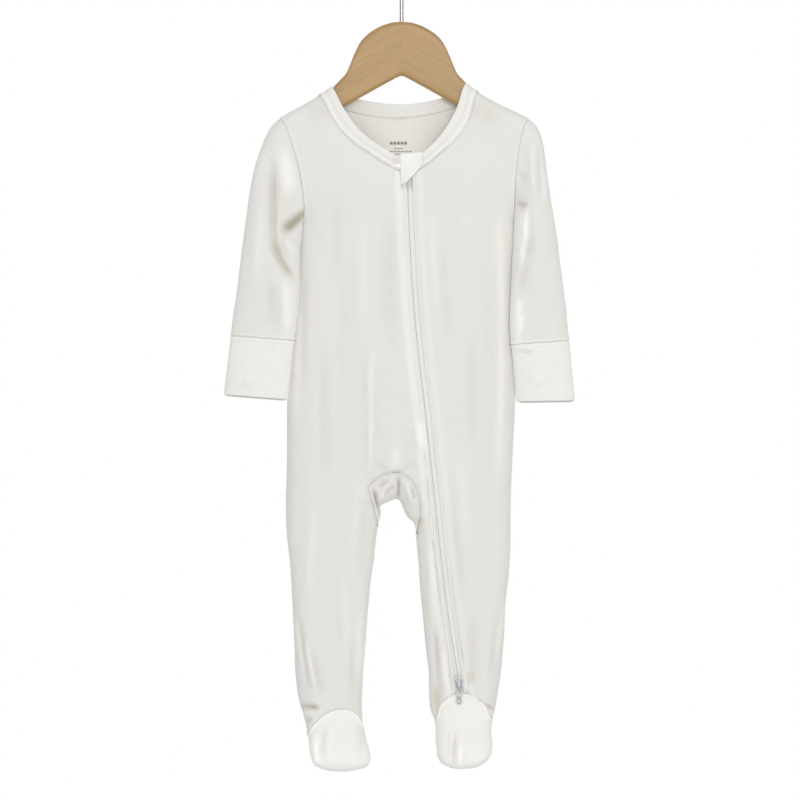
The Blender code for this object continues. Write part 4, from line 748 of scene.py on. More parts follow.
def neckband_sheet(side, leg):
    """A quarter of the neckband, from the neck's seam (0) to its free edge (1).

    At the back its seam side rises by 0.13 (sqrt(x^2 + 10^2) - x), so that it rounds the middle.
    """

    def sheet(s, row):
        if side < 0:
            lines = (*neck_front(row, leg), *neck_front(row, leg, "_edge"))
        else:
            lines = (*seam(row, NECK_BACK[leg + "_x"], NECK_BACK[leg + "_z"]),
                     *seam(row, NECK_BACK[leg + "_edge_x"], NECK_BACK[leg + "_edge_z"]))
        points = form(*between(*lines, s, row), side)
        if side > 0:
            across = np.abs(points[..., 0])
            points[..., 2] += 0.13 * (np.sqrt(across**2 + 100) - across) * smooth_step((0.45 - s) / 0.65)
        return points

    return sheet


# ---- fine grids on a sheet


def unit(vectors):
    """Vectors of length 1 with the same directions."""
    return vectors / np.maximum(np.linalg.norm(vectors, axis=-1, keepdims=True), 1e-12)


def stepped(at, fine, coarse, reach, values):
    """Values at steps along a length, which grow within a reach from the fine ones at both ends to coarse."""
    first = mix(fine[0], coarse, smooth_step(at / reach))
    last = mix(fine[1], coarse, smooth_step((at[-1] - at) / reach))
    count = np.concatenate([[0], np.cumsum(np.diff(at) / np.minimum(first, last)[1:])])
    return np.interp(np.linspace(0, count[-1], max(2, math.ceil(count[-1])) + 1), count, values)


def graded(length, fine, coarse, reach=6.0):
    """Shares from 0 to 1 of a length, in steps that grow from the two fine ones at its ends to coarse."""
    at = np.linspace(0, length, 4000)
    return stepped(at, fine, coarse, reach, at) / length


def arc(points):
    """Length along each line of points, from its first point."""
    steps = np.linalg.norm(np.diff(points, axis=-2), axis=-1)
    return np.concatenate([np.zeros(steps.shape[:-1] + (1,)), np.cumsum(steps, axis=-1)], axis=-1)


def even_rows(sheet, low, high, fine, share=0.5, keep=(), scale=1.0):
    """Rows whose distance along the sheet grows from fine at both ends to the step of their height.

    Kept rows are exact.
    """
    dense = np.linspace(low, high, 3000)
    points = sheet(np.full(dense.shape, share), dense)
    step = np.interp(points[:, 2], ROW_STEP["z"], ROW_STEP["step"]) * scale
    rows = stepped(arc(points), fine, step, 6, dense)
    for row in keep:
        rows[np.argmin(np.abs(rows - row))] = row
    return rows


def even_shares(sheet, rows, shares, low=0.0, high=1.0):
    """For each row, the shares of the sheet that lie at the given shares of the row's own length."""
    dense = low + (high - low) * (1 - np.cos(np.linspace(0, math.pi, 361))) / 2
    lengths = arc(sheet(dense[None], rows[:, None]))
    return np.stack([np.interp(shares * own[-1], own, dense) for own in lengths])


def sheet_normals(sheet, share, row, outward, low=0.0, high=1.0, first=0.0, last=1e9):
    """Outward normals of a sheet, from small steps in each direction that stay inside it."""
    step = 2e-3
    across = sheet(np.minimum(share + step, high), row) - sheet(np.maximum(share - step, low), row)
    along = sheet(share, np.minimum(row + step, last)) - sheet(share, np.maximum(row - step, first))
    return outward * unit(np.cross(across, along))


def line_distance(points, line):
    """Distance from each point to a line of points, and how far along the line the nearest place is."""
    flat = points.reshape(-1, 3)
    best = np.full(len(flat), 1e9)
    place = np.zeros(len(flat))
    run = arc(line)
    for start, end, at in zip(line[:-1], line[1:], run):
        way = end - start
        length = np.linalg.norm(way)
        if length < 1e-6:
            continue
        t = np.clip((flat - start) @ way / length**2, 0, 1)
        off = np.linalg.norm(flat - start - t[:, None] * way, axis=-1)
        nearer = off < best
        best = np.where(nearer, off, best)
        place = np.where(nearer, at + t * length, place)
    return best.reshape(points.shape[:-1]), place.reshape(points.shape[:-1])


def ripple(points, seed, height=0.13):
    """The cloth's slight unevenness: waves of several lengths, longest down the cloth, at seeded angles."""
    rng = np.random.default_rng(seed)
    total = np.zeros(points.shape[:-1])
    for wave in (34, 25, 19, 14, 11, 8):
        for _ in range(3):
            lean = rng.normal(0, 0.35)
            phase = rng.uniform(0, 2 * math.pi)
            way = (points[..., 0] * math.cos(lean) + 0.45 * points[..., 2] * math.sin(lean)
                   + 0.2 * points[..., 2] * math.sin(3 * lean))
            total = total + (wave / 34) ** 0.8 * np.sin(2 * math.pi * way / wave + phase)
    return height * total / 2


def seam_relief(points, seams):
    """Height of the cloth over its sheet near its seams.

    It is nothing on a seam and rises from there to the puff's height, over the seam's own width. Each
    seam may add a roll beside it, and small gathers along it: waves that die away from the seam.
    """
    rise, extra, rolls = 1.0, 0.0, 0.0
    for line, kind in seams:
        width, roll_at, roll_width, roll_height, gather = SEAM_LOOKS[kind]
        off, place = line_distance(points, line)
        rise = rise * (1 - bell(off, width))
        near = 1 - bell(off, 0.5)
        waves = np.sin(place * 1.35 + 1.7 * np.sin(place * 0.23)) * bell(off, 4.5)
        roll = near * roll_height * bell(off - roll_at, roll_width)
        rolls = rolls + roll
        extra = extra + roll + near * gather * waves
    return rise, extra, rolls


# Looks of the seams: how wide the dip at the seam is, where a roll lies beside it, how wide and high it
# is (a negative one is a groove), and how high the gathers are.
SEAM_LOOKS = {  # width, roll_at, roll_width, roll_height, gather
    "armhole": (1.0, 1.6, 0.8, 0.5, 0.06),
    "cap": (1.6, 2.2, 1.0, 0.12, 0.10),
    "side": (1.1, 1.5, 1.0, 0.0, 0.05),
    "shoulder": (1.0, 1.5, 1.0, 0.0, 0.02),
    "neck": (2.0, 1.8, 1.1, -0.9, 0.03),
    "arch": (1.4, 1.1, 1.0, -0.6, 0.05),
    "gusset": (0.35, 0.8, 0.5, 1.1, 0.05),
    "ankle": (0.9, 1.0, 0.9, -0.6, 0.12),
    "vamp": (0.3, 0.9, 0.8, 1.1, 0.06),
    "heel": (1.0, 1.2, 0.8, 0.2, 0.08),
    "toe": (0.9, 1.3, 0.8, 0.15, 0.10),
    "wrist": (0.8, 1.5, 0.8, 0.9, 0.12),
}
PUFF = 0.55  # how far the cloth stands off its seams
HEM_RADIUS = 0.7  # of the turned edges along the zip
HEM_RETURN = 4.0  # how far a turned edge runs back inside
HEM_STITCH = 2.1  # from the turned edge to its line of stitches
HEM_DOUBLE = 9.0  # width of the doubled band along the zip


def zip_relief(points, leg):
    """Height of a front's cloth along the zip, and how much of it is doubled.

    The last of it turns down in a quarter circle. The line of stitches sinks in a groove, and the doubled
    band is a little thicker than the rest.
    """
    z = points[..., 2]
    off = np.abs(points[..., 0] - slot_edge(z, leg))
    off = np.where(z > NECK_FOOT + 0.5, 1e3, off)
    inside = np.clip(HEM_RADIUS - off, 0, HEM_RADIUS)
    drop = HEM_RADIUS - np.sqrt(HEM_RADIUS**2 - inside**2)
    groove = 0.5 * bell(off - HEM_STITCH, 0.5)
    swell = 0.35 * bell(off - 1.0, 0.7)
    pad = 0.45 * (1 - smooth_step((off - 4) / (HEM_DOUBLE - 4)))
    double = (1.0 if leg == "right" else 0.45) * (1 - smooth_step((off - 7) / 3))
    waves = 0.07 * np.sin(z * 1.15 + 1.9 * np.sin(z * 0.19)) * bell(off, 6)
    return pad + swell - groove - drop + waves, double


def patch(points, uv, outward, backing=0.0, crease_shading=0.0):
    """A grid of points with its UV, its values of backing and crease_shading (the painted shade and highlight
    of its creases), and which way its faces turn.
    """
    shape = points.shape[:2]
    return {"points": points, "uv": uv, "outward": outward,
            "backing": np.broadcast_to(backing, shape), "crease_shading": np.broadcast_to(crease_shading, shape)}


def arc_uv(points, anchor):
    """UV in millimetres: across, the arc from an anchor column, which keeps its own x; along, the height."""
    across = arc(points)
    across = across - across[:, anchor:anchor + 1 or None][:, :1] + points[:, anchor, 0][:, None]
    return np.stack([across, points[..., 2]], -1)


def strip_uv(points):
    """UV in millimetres of a grid whose rows run along it: arc along the rows and arc across them."""
    u, v = arc(points), arc(points[:, points.shape[1] // 2])
    return joined(u - u[:, -1:] / 2, -v[:, None])


def cloth_patch(sheet, rows, shares, outward, seams, seed, side=-1, zip_leg=None, anchor=0,
                span=(0.0, 1.0), last=1e9, table=CREASES, ease=None):
    """A fine grid of cloth on a sheet, moved out by its seams' relief and its ripple."""
    share = even_shares(sheet, rows, shares, *span)
    row = np.broadcast_to(rows[:, None], share.shape)
    points = sheet(share, row)
    normals = sheet_normals(sheet, share, row, outward, *span, rows[0], min(last, rows[-1]))
    rise, extra, rolls = seam_relief(points, seams)
    if ease is not None:
        extra, rolls = extra * ease(row), rolls * ease(row)
    height = PUFF * rise + extra + ripple(points, seed) * rise
    backing = 0.0
    if zip_leg:
        hem, backing = zip_relief(points, zip_leg)
        height = height + hem * rise
    # The heights of the creases and the seams' rolls go into the colour as crease_shading: painted shade
    # where the cloth sinks, painted highlight where it swells.
    crease_shading = creases(points[..., 0], points[..., 2], side(share) if callable(side) else side, table)
    return patch(points + height[..., None] * normals, arc_uv(points, anchor), outward, backing,
                 crease_shading + ROLL_SHADE * rolls)


def hem_patch(panel_patch, rows, column):
    """The turned edge along the zip: the second quarter of the fold and its return inside.

    From the edge's points, whose way in is T and whose normal is N, it follows r (1 - cos a) T -
    r sin a N for a quarter circle and then runs on along T.
    """
    keep = rows >= UNDERARM_ROW
    points = panel_patch["points"][keep]
    edge = points[:, column]
    inner = points[:, column - 6 if column else 6]
    below = np.gradient(edge, axis=0)
    way = inner - edge
    way = unit(way - (way * unit(below)).sum(-1, keepdims=True) * unit(below))
    way = unit(way * np.array([1, 0.0, 0]) + way * 0.3)
    normal = unit(np.cross(way, below))
    normal = np.where(normal[:, 1:2] < 0, normal, -normal)
    angle = np.linspace(0, math.pi / 2, 5)
    reach = np.concatenate([HEM_RADIUS * (1 - np.cos(angle)), np.linspace(HEM_RADIUS + 0.6, HEM_RETURN, 5)])
    sink = np.concatenate([HEM_RADIUS * np.sin(angle), np.full(5, HEM_RADIUS)])
    grid = edge[:, None] + reach[None, :, None] * way[:, None] - sink[None, :, None] * normal[:, None]
    grid[:, 0] = edge
    start = panel_patch["uv"][keep][:, column]
    flow = np.concatenate([[0], np.cumsum(np.hypot(np.diff(reach), np.diff(sink)))])
    uv = joined(start[:, :1] - flow[None], start[:, 1:])
    turned = slice(None, None, 1 if column else -1)
    return patch(grid[:, turned], uv[:, turned], panel_patch["outward"], 1.0)


# ---- meshes


def weld(mesh, distance):
    """Joins the points that lie within a distance of each other and drops the faces that this closes up."""
    bm = bmesh.new()
    bm.from_mesh(mesh)
    bmesh.ops.remove_doubles(bm, verts=bm.verts, dist=distance)
    bmesh.ops.dissolve_degenerate(bm, edges=bm.edges, dist=1e-7)
    bm.to_mesh(mesh)
    bm.free()


def build_mesh(name, patches, material, merge=0.05):
    """One mesh from grids in millimetres: points and a UV map in metres, and the two attributes."""
    starts = np.cumsum([0] + [p["points"][..., 0].size for p in patches])
    faces = []
    for start, p in zip(starts, patches):
        rows, columns = p["points"].shape[:2]
        corner = start + np.arange(rows * columns).reshape(rows, columns)
        quads = np.stack([corner[:-1, :-1], corner[:-1, 1:], corner[1:, 1:], corner[1:, :-1]], -1)
        faces.append(quads.reshape(-1, 4)[:, :: -1 if p["outward"] < 0 else 1])
    faces = np.concatenate(faces)
    mesh = bpy.data.meshes.new(name)
    mesh.vertices.add(int(starts[-1]))
    mesh.vertices.foreach_set("co", np.concatenate([p["points"].ravel() for p in patches]) * MM)
    mesh.loops.add(faces.size)
    mesh.loops.foreach_set("vertex_index", faces.ravel())
    mesh.polygons.add(len(faces))
    mesh.polygons.foreach_set("loop_start", np.arange(0, faces.size, 4))
    mesh.polygons.foreach_set("use_smooth", np.ones(len(faces), bool))
    mesh.update(calc_edges=True)
    uvs = np.concatenate([p["uv"].reshape(-1, 2) for p in patches]) * MM
    mesh.uv_layers.new(name="Cloth").data.foreach_set("uv", uvs[faces.ravel()].ravel())
    for label in ("backing", "crease_shading"):
        values = np.concatenate([p[label].ravel() for p in patches])
        mesh.attributes.new(label, "FLOAT", "POINT").data.foreach_set("value", values)
    weld(mesh, merge * MM)
    mesh.validate()
    mesh.materials.append(material)
    return mesh


def place(name, mesh, body=SUIT, node="", thickness=0.0):
    """An object at the origin that rides its body, in place of a node of the frame."""
    piece = bpy.data.objects.new(name, mesh)
    bpy.context.scene.collection.objects.link(piece)
    if thickness:
        shell = piece.modifiers.new("Cloth thickness", "SOLIDIFY")
        shell.thickness = thickness * MM
        shell.offset = -1
        shell.use_even_offset = False
    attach(piece, body)
    if node:
        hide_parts(node)
    return piece


# ---- cloth pieces


def seam_line(sheet, share, row, count):
    """A seam's points: a line of a sheet, between two rows at one share or two shares at one row."""
    shares = np.linspace(*share, count) if isinstance(share, tuple) else np.full(count, float(share))
    rows = np.linspace(*row, count) if isinstance(row, tuple) else np.full(count, float(row))
    return sheet(shares, rows)


def seam_lines(*rows):
    """Seams as lines of points, from rows of sheet, share, row, count and kind."""
    return [(seam_line(*row[:-1]), row[-1]) for row in rows]


def front_right_patches(props):
    """The right front: the half outside the arch's middle, the strip along the zip, and its turned edge."""
    rows = even_rows(RIGHT_SHEET, 0, ANKLE_ROW, (0.5, 0.5), keep=(UNDERARM_ROW, ARCH_ROW, TIP_ROW))
    seams = seam_lines(
        (RIGHT_SHEET, 0, (0, UNDERARM_ROW), 30, "armhole"),
        (RIGHT_SHEET, 0, (UNDERARM_ROW, ANKLE_ROW), 110, "side"),
        (RIGHT_SHEET, WHOLE, 0, 20, "shoulder"),
        (STRIP_SHEET, WHOLE, 0, 8, "shoulder"),
        (STRIP_SHEET, 1, (0, UNDERARM_ROW), 30, "neck"),
        (RIGHT_SHEET, 1, (ARCH_ROW, TIP_ROW), 30, "arch"),
        (STRIP_SHEET, 0, (ARCH_ROW, TIP_ROW), 30, "arch"),
        (RIGHT_SHEET, 1, (TIP_ROW, ANKLE_ROW), 50, "side"),
        (STRIP_SHEET, 0, (TIP_ROW, ANKLE_ROW), 50, "side"),
        (RIGHT_SHEET, WHOLE, ANKLE_ROW, 30, "ankle"),
        (STRIP_SHEET, WHOLE, ANKLE_ROW, 14, "ankle"),
    )
    right = cloth_patch(RIGHT_SHEET, rows, graded(100, (0.5, 1.5), props.step), -1, seams, 3, anchor=-1)
    strip = cloth_patch(STRIP_SHEET, rows, graded(30, (1.5, 0.3), props.step), -1, seams, 3, zip_leg="right")
    return [right, strip, hem_patch(strip, rows, -1)]


def front_left_patches(props):
    """The left front: from the zip to the armhole and the side seam, and its turned edge."""
    rows = even_rows(LEFT_SHEET, 0, ANKLE_ROW, (0.5, 0.5), keep=(UNDERARM_ROW,))
    seams = seam_lines(
        (LEFT_SHEET, 1, (0, UNDERARM_ROW), 30, "armhole"),
        (LEFT_SHEET, 1, (UNDERARM_ROW, ANKLE_ROW), 110, "side"),
        (LEFT_SHEET, WHOLE, 0, 20, "shoulder"),
        (LEFT_SHEET, 0, (0, UNDERARM_ROW), 30, "neck"),
        (LEFT_SHEET, WHOLE, ANKLE_ROW, 24, "ankle"),
    )
    left = cloth_patch(LEFT_SHEET, rows, graded(85, (0.3, 0.5), props.step), -1, seams, 4, zip_leg="left")
    return [left, hem_patch(left, rows, 0)]


def back_patches(props):
    """The back's two halves, which share the line down its middle to the arch."""
    keep = (BACK_NECK_ROW, ARCH_ROW, TIP_ROW)
    rows = even_rows(BACK_SHEET["right"], 0, ANKLE_ROW, (0.5, 0.5), keep=keep, scale=BACK_COARSER)
    seams = [line for sheet in BACK_SHEET.values() for line in seam_lines(
        (sheet, 0, (0, UNDERARM_ROW), 24, "armhole"),
        (sheet, 0, (UNDERARM_ROW, ANKLE_ROW), 80, "side"),
        (sheet, WHOLE, 0, 16, "shoulder"),
        (sheet, 1, (0, BACK_NECK_ROW), 24, "neck"),
        (sheet, 1, (ARCH_ROW, TIP_ROW), 24, "arch"),
        (sheet, 1, (TIP_ROW, ANKLE_ROW), 40, "side"),
        (sheet, WHOLE, ANKLE_ROW, 24, "ankle"),
    )]
    shares = graded(115, (0.5, 1.5), props.step * BACK_COARSER)
    return [cloth_patch(BACK_SHEET[leg], rows, shares, -MIRROR[leg], seams, 5, 1, anchor=-1) for leg in LEGS]


def gusset_patches():
    """The gusset, whose seams' rolls fade towards its two tips."""
    rows = even_rows(gusset_sheet, -7, 7, (0.5, 0.5), share=0.0, scale=0.8)
    seams = seam_lines(*((gusset_sheet, end, (-7, 7), 60, "gusset") for end in (0, 1)))
    return [cloth_patch(gusset_sheet, rows, graded(50, (0.35, 0.5), 0.9), 1, seams, 6,
                        lambda share: np.where(share < 0.5, -1, 1), table=GUSSET_CREASES,
                        ease=lambda row: smooth_step((7 - np.abs(row)) / 2.5))]


def foot_patches(leg, side):
    """A foot's top or sole, from its seam with the leg to the toe's edge."""
    sheet = foot_sheet(leg, side)
    rows = even_rows(sheet, 0, 1, (0.4, 0.5), scale=0.9)
    seams = seam_lines((sheet, WHOLE, 0, 40, "vamp" if side < 0 else "heel"), (sheet, WHOLE, 1, 40, "toe"),
                       (sheet, 0, WHOLE, 24, "toe"), (sheet, 1, WHOLE, 24, "toe"))
    made = cloth_patch(sheet, rows, graded(65, (0.5, 0.5), 0.9), -side * MIRROR[leg], seams, 7, side)
    if side < 0:
        off = line_distance(made["points"], seams[0][0])[0]
        # lighter along the seam's doubled allowance, partly painted light: less shade shows through two
        # layers
        made["backing"] = 0.6 + 0.9 * bell(off, 1.8)
    return [made]


def sleeve_patches(leg):
    """A sleeve: a closed tube of rings from the armhole's seam to the cuff's."""
    sheet = sleeve_sheet(leg)
    rows = even_rows(sheet, 0, CUFF_RING, (0.5, 0.5), scale=0.85)
    seams = seam_lines((sheet, ROUND, 0, 60, "cap"), (sheet, ROUND, CUFF_RING, 60, "wrist"))
    made = cloth_patch(
        sheet, rows, graded(112, (1.4, 1.4), 1.4), -MIRROR[leg], seams, 8,
        lambda share: np.where(share < 1, -1, 1), span=ROUND, last=CUFF_RING, table=SLEEVE_CREASES,
    )
    made["uv"] = strip_uv(made["points"])
    return [made]


def folded_patch(sheet, rows, outward, width, over, inside, radius, lift, seed, row_span, stitches=(),
                 seams=(), drop_edge=False):
    """A strip folded double over its free edge: outer leg, a half circle round the fold, inner leg.

    The sheet's share runs across the strip from its seam (0) to its free edge (1). The outer leg starts
    over millimetres before the seam and lies lift above the sheet; the inner leg ends inside millimetres
    past the seam and lies 2 r below the outer one. Lines of stitches sink in grooves.
    """
    end = 1 - radius / width
    outer = mix(-over / width, end, graded(width + over, (0.35, 0.6), 0.9, 3.0))
    angle = np.linspace(0, math.pi, 11)[1:]
    turn = end + radius / width * np.sin(angle)
    back = mix(end, inside / width, graded(width, (0.6, 0.8), 1.6, 3.0))[1:]
    share = np.concatenate([outer, turn, back])
    depth = np.concatenate([0 * outer, radius * (1 - np.cos(angle)), 0 * back + 2 * radius])
    flow = np.concatenate([[0], np.cumsum(np.hypot(np.diff(share) * width, np.diff(depth)))])
    share, row = np.broadcast_arrays(share[None, :], rows[:, None])
    points = sheet(share, row)
    normals = sheet_normals(sheet, share, row, outward, -1.0, 1.0, *row_span)
    rise, extra, rolls = seam_relief(points, seams)
    # crease_shading paints the colour: the seams' rolls, then painted shade in each stitch groove and a
    # painted highlight beside it.
    crease_shading = ROLL_SHADE * rolls + 0 * share
    across = share * width
    height = lift * np.ones(share.shape) + ripple(points, seed, 0.06) + (PUFF * rise + extra) * bool(seams)
    waves = 1 + 0.3 * np.sin(1.9 * arc(points[:, 0]))[:, None]
    for at in stitches:
        groove = bell(across - at, 0.4) * (depth == 0)
        beside = bell(across - at + 1.2, 0.7) * (depth == 0)
        height = height - 0.5 * waves * groove + 0.2 * beside
        crease_shading = crease_shading - 1.8 * groove + 1.2 * beside
    if drop_edge:
        near = np.clip(EDGE_ROUNDING - (across + over), 0, EDGE_ROUNDING)
        height = height - np.where(depth == 0, 1.6 * rounding(near), 0)
    height = height - depth[None, :]
    uv = joined(flow[None, :], strip_uv(points)[..., 1])
    return patch(points + height[..., None] * normals, uv, outward, 1.0, crease_shading)


def rounding(near):
    """How far an edge drops, near millimetres inside its rounding of radius r: r - sqrt(r^2 - near^2)."""
    return EDGE_ROUNDING - np.sqrt(EDGE_ROUNDING**2 - near**2)


def cuff_patches(leg):
    """A cuff: the same tube, folded double at the hand."""
    base = sleeve_sheet(leg)

    def sheet(share, turn):
        points = base(turn, mix(CUFF_RING, HAND_RING, share))
        points[..., 2] -= 1.5 * smooth_step(share) * np.clip(3 * np.sin(math.pi * (turn - 1)), 0, 1)
        return points

    turns = even_shares(base, np.array([10.0]), graded(100, (1.3, 1.3), 1.3), *ROUND)[0]
    seams = seam_lines((base, ROUND, CUFF_RING, 60, "wrist"))
    return [folded_patch(sheet, turns, MIRROR[leg], 50.0, 0.0, 2.0, 0.9, 0.0, 9, ROUND, seams=seams)]


def neck_quarters():
    """The neckband's quarters: sheet, last row and which way its faces turn."""
    return [(neckband_sheet(side, leg), UNDERARM_ROW if side < 0 else BACK_NECK_ROW, side * MIRROR[leg])
            for side in (-1, 1) for leg in LEGS]


def neckband_patches():
    """The neckband: a strip bound over the neck's edge, in four quarters that share the shoulder and the
    middle of the back."""
    return [
        folded_patch(sheet, even_rows(sheet, 0, last, (0.6, 0.6), share=0.3, scale=0.65), outward, BAND_WIDTH,
                     1.3, -2.2, 0.75, 1.25, 10, (0.0, float(last)), BAND_STITCHES, drop_edge=True)
        for sheet, last, outward in neck_quarters()
    ]


def guard_sheet(s, row):
    """The zip guard: a flap over the top of the zip, which stands off more along its lower edge."""
    rows = np.arange(len(GUARD["right_x"]))
    x = mix(curve(row, rows, GUARD["right_x"]), curve(row, rows, GUARD["left_x"]), s)
    z = mix(curve(row, rows, GUARD["right_z"]), curve(row, rows, GUARD["left_z"]), s)
    lift = 2.4 + 2.4 * smooth_step((row - 1.0) / 3.5) * smooth_step(s / 0.6)
    return front_raised(x, z, lift)


def guard_patches():
    """The zip guard with its four edges rounded."""
    rows = even_rows(guard_sheet, 0, 5, (0.3, 0.3), scale=0.45)
    share, row = np.broadcast_arrays(graded(17, (0.25, 0.25), 0.7, 2.5), rows[:, None])
    points = guard_sheet(share, row)
    normals = sheet_normals(guard_sheet, share, row, -1, 0.0, 1.0, 0.0, 5.0)
    height = ripple(points, 12, 0.08)
    for at_share, at_row, count in ((0, (0, 5), 20), (1, (0, 5), 30), (WHOLE, 0, 10), (WHOLE, 5, 6)):
        off = line_distance(points, seam_line(guard_sheet, at_share, at_row, count))[0]
        drop = rounding(np.clip(EDGE_ROUNDING - off, 0, EDGE_ROUNDING))
        height = height - drop + 0.12 * bell(off - 1.0, 0.6)
    return [patch(points + height[..., None] * normals, arc_uv(points, 0), -1, 1.0)]


# ---- zip


def zip_lean(z):
    """How far the coil and the tapes lie to the right of the zip's line, above its lower end."""
    return ZIP_LEAN * smooth_step((z - ZIP_LEAN_FOOT) / ZIP_LEAN_REACH)


def tape_patches(leg):
    """A zip tape: from beside the zip's middle line to where it is sewn in behind the front.

    Its edge rolls over the coil: up in a quarter of an ellipse from the middle line to a top, and down
    again to 3.6 mm from the line.
    """
    side = -MIRROR[leg]
    off = np.array([0.12, 0.16, 0.26, 0.5, 0.75, 1.05, 1.4, 1.75, 2.1, 2.5, 2.9, 3.4, 4.2, 5.4, 6.8, 8.0])
    z = np.linspace(TAPE_BOTTOM, TAPE_TOP, 360)[:, None]
    top, low, high = (1.3, -0.75, 0.4) if leg == "right" else (2.0, -0.45, 0.75)
    rise = np.sqrt(np.clip(1 - ((off - top) / (top - 0.1)) ** 2, 0, 1))
    roll = high * np.where(off < top, rise, 1 - smooth_step((off - top) / (3.6 - top)))
    x, z = np.broadcast_arrays(zip_line(z) + side * off - zip_lean(z), z)
    return [patch(front_raised(x, z, low + roll + 0 * z), joined(side * off, z), side)]


def coil_patches():
    """The zip's coil behind the tapes: a half round with one rib for each turn of the coil."""
    z = np.linspace(COIL_BOTTOM, COIL_TOP, int((COIL_BOTTOM - COIL_TOP) / -0.33))[:, None]
    angle = np.linspace(0, math.pi, 7)
    rib = 0.1 * np.sin(2 * math.pi * z / 1.32)
    x, z = np.broadcast_arrays(zip_line(z) - zip_lean(z) - (COIL_WIDTH / 2 + rib) * np.cos(angle), z)
    return [patch(front_raised(x, z, -2.1 + (0.7 + rib) * np.sin(angle)), joined(x, z), 1)]


def slider_place():
    """Origin and turn of the slider: it lies on the form, in line with the zip."""
    point, above, below = (form(float(zip_line(z)), z, -1) for z in SLIDER_HEIGHT + np.array([0, 5.0, -5.0]))
    along = (above - below) / np.linalg.norm(above - below)
    across = unit(np.array([1.0, 0, 0]) - along * along[0])
    outward = np.cross(along, across)
    if outward[1] > 0:
        outward = -outward
    return point, np.stack([across, -outward, along])


def placed(points, origin, turn):
    """Points given as across, in and along, at a place."""
    return origin + points @ turn


def local_patch(grid, where):
    """A patch from points given as across, in and along, at a place with an origin and a turn."""
    return patch(placed(grid, *where), grid[..., [0, 2]], 1)


def slab_patch(outline, low, high, radius, where, rings=4):
    """A plate with rounded edges: its outline moved in by r (1 - sin a) at heights r (1 - cos a) from each
    face, and closed over both faces by rings that shrink to the middle."""
    centre = outline.mean(axis=0)
    way = unit(np.roll(outline, -1, axis=0) - np.roll(outline, 1, axis=0))
    inward = np.stack([-way[:, 1], way[:, 0]], -1)
    inward = inward * np.sign(((centre - outline) * inward).sum(-1, keepdims=True))
    angle = np.linspace(0, math.pi / 2, rings + 1)
    inset, up = radius * (1 - np.sin(angle)), low + radius * (1 - np.cos(angle))
    edge = [(outline + d * inward, h) for d, h in zip(inset, up)]
    edge += [(outline + d * inward, high + low - h) for d, h in zip(inset[::-1], up[::-1])]
    shrunk = (0.001, 0.35, 0.7)
    loops = [(mix(centre, edge[0][0], s), low) for s in shrunk] + edge
    loops += [(mix(centre, edge[-1][0], s), high) for s in shrunk[::-1]]
    grid = np.stack([np.column_stack([p[:, 0], np.full(len(p), h), p[:, 1]]) for p, h in loops])
    return local_patch(np.concatenate([grid, grid[:, :1]], axis=1), where)


def circle(centre, radius, start, end, count):
    angle = np.radians(np.linspace(start, end, count))
    return np.stack([centre[0] + radius * np.cos(angle), centre[1] + radius * np.sin(angle)], -1)


def slider_patches():
    """The slider's plate and the bridge over it: a band of metal bowed from one end of the plate to the
    other, with a rounded section."""
    where = slider_place()
    half_length, back = SLIDER_LENGTH / 2, -SLIDER_LIFT
    face = back - SLIDER_THICKNESS
    nose = SLIDER_WIDTH / 2 - 1.2
    outline = np.concatenate([
        circle((x, z), radius, start, start + 90, 8) for x, z, radius, start in (
            (nose, half_length - 1.4, 1.4, 0), (-nose, half_length - 1.4, 1.4, 90),
            (-nose + 0.9, -half_length + 1.2, 1.2, 180), (nose - 0.9, -half_length + 1.2, 1.2, 270),
        )
    ])
    bow = np.linspace(-1, 1, 41)
    far = np.abs(bow)
    along = BRIDGE_LENGTH / 2 * np.sign(bow) * far**0.8 - BRIDGE_HALF * np.sign(bow) * far**3
    height = face + 0.5 - (BRIDGE_RISE + 0.5) * (1 - far**5) ** 0.5 + BRIDGE_HALF * (1 - far**4)
    middle = np.stack([0 * bow, height, along], -1)
    side = np.array([1.0, 0, 0])
    out = unit(np.cross(unit(np.gradient(middle, axis=0)), side))
    angle = np.linspace(0, 2 * math.pi, 17)
    wide = BRIDGE_WIDTH / 2 * (0.75 + 0.45 * (1 - far))[:, None, None]
    ring, tall = (np.sign(w) * np.abs(w) ** 0.6 for w in (np.cos(angle), np.sin(angle)))
    grid = (middle[:, None] + wide * ring[None, :, None] * side
            + BRIDGE_HALF * tall[None, :, None] * out[:, None])
    grid = np.concatenate([middle[:1, None] + 0 * grid[:1], grid, middle[-1:, None] + 0 * grid[-1:]])
    return [slab_patch(outline, face, back, 0.6, where), local_patch(grid, where)]


def pull_place():
    """The pull tab's pivot, in the lower end of the bridge, and its turn: it leans on the foot."""
    origin, turn = slider_place()
    clear = BRIDGE_THICKNESS + BRIDGE_PLAY + PULL_THICKNESS / 2
    depth = -SLIDER_LIFT - SLIDER_THICKNESS - BRIDGE_RISE + clear
    pivot = placed(np.array([0, depth, clear - BRIDGE_LENGTH / 2]), origin, turn)
    lean = math.radians(-PULL_LEAN)
    c, s = math.cos(lean), math.sin(lean)
    return pivot, np.array([[1, 0, 0], [0, c, s], [0, -s, c]])


def upright(line):
    """Points of x and z in the plane where y is 0."""
    return np.stack([line[:, 0], 0 * line[:, 0], line[:, 1]], -1)


def tube(path, out, radius, count):
    """A round tube about a path in the plane of x and z: path + r (cos a out + sin a Y)."""
    angle = np.linspace(0, 2 * math.pi, count)[None, :, None]
    return path[:, None] + radius * (np.cos(angle) * out[:, None] + np.sin(angle) * np.array([0, 1.0, 0]))


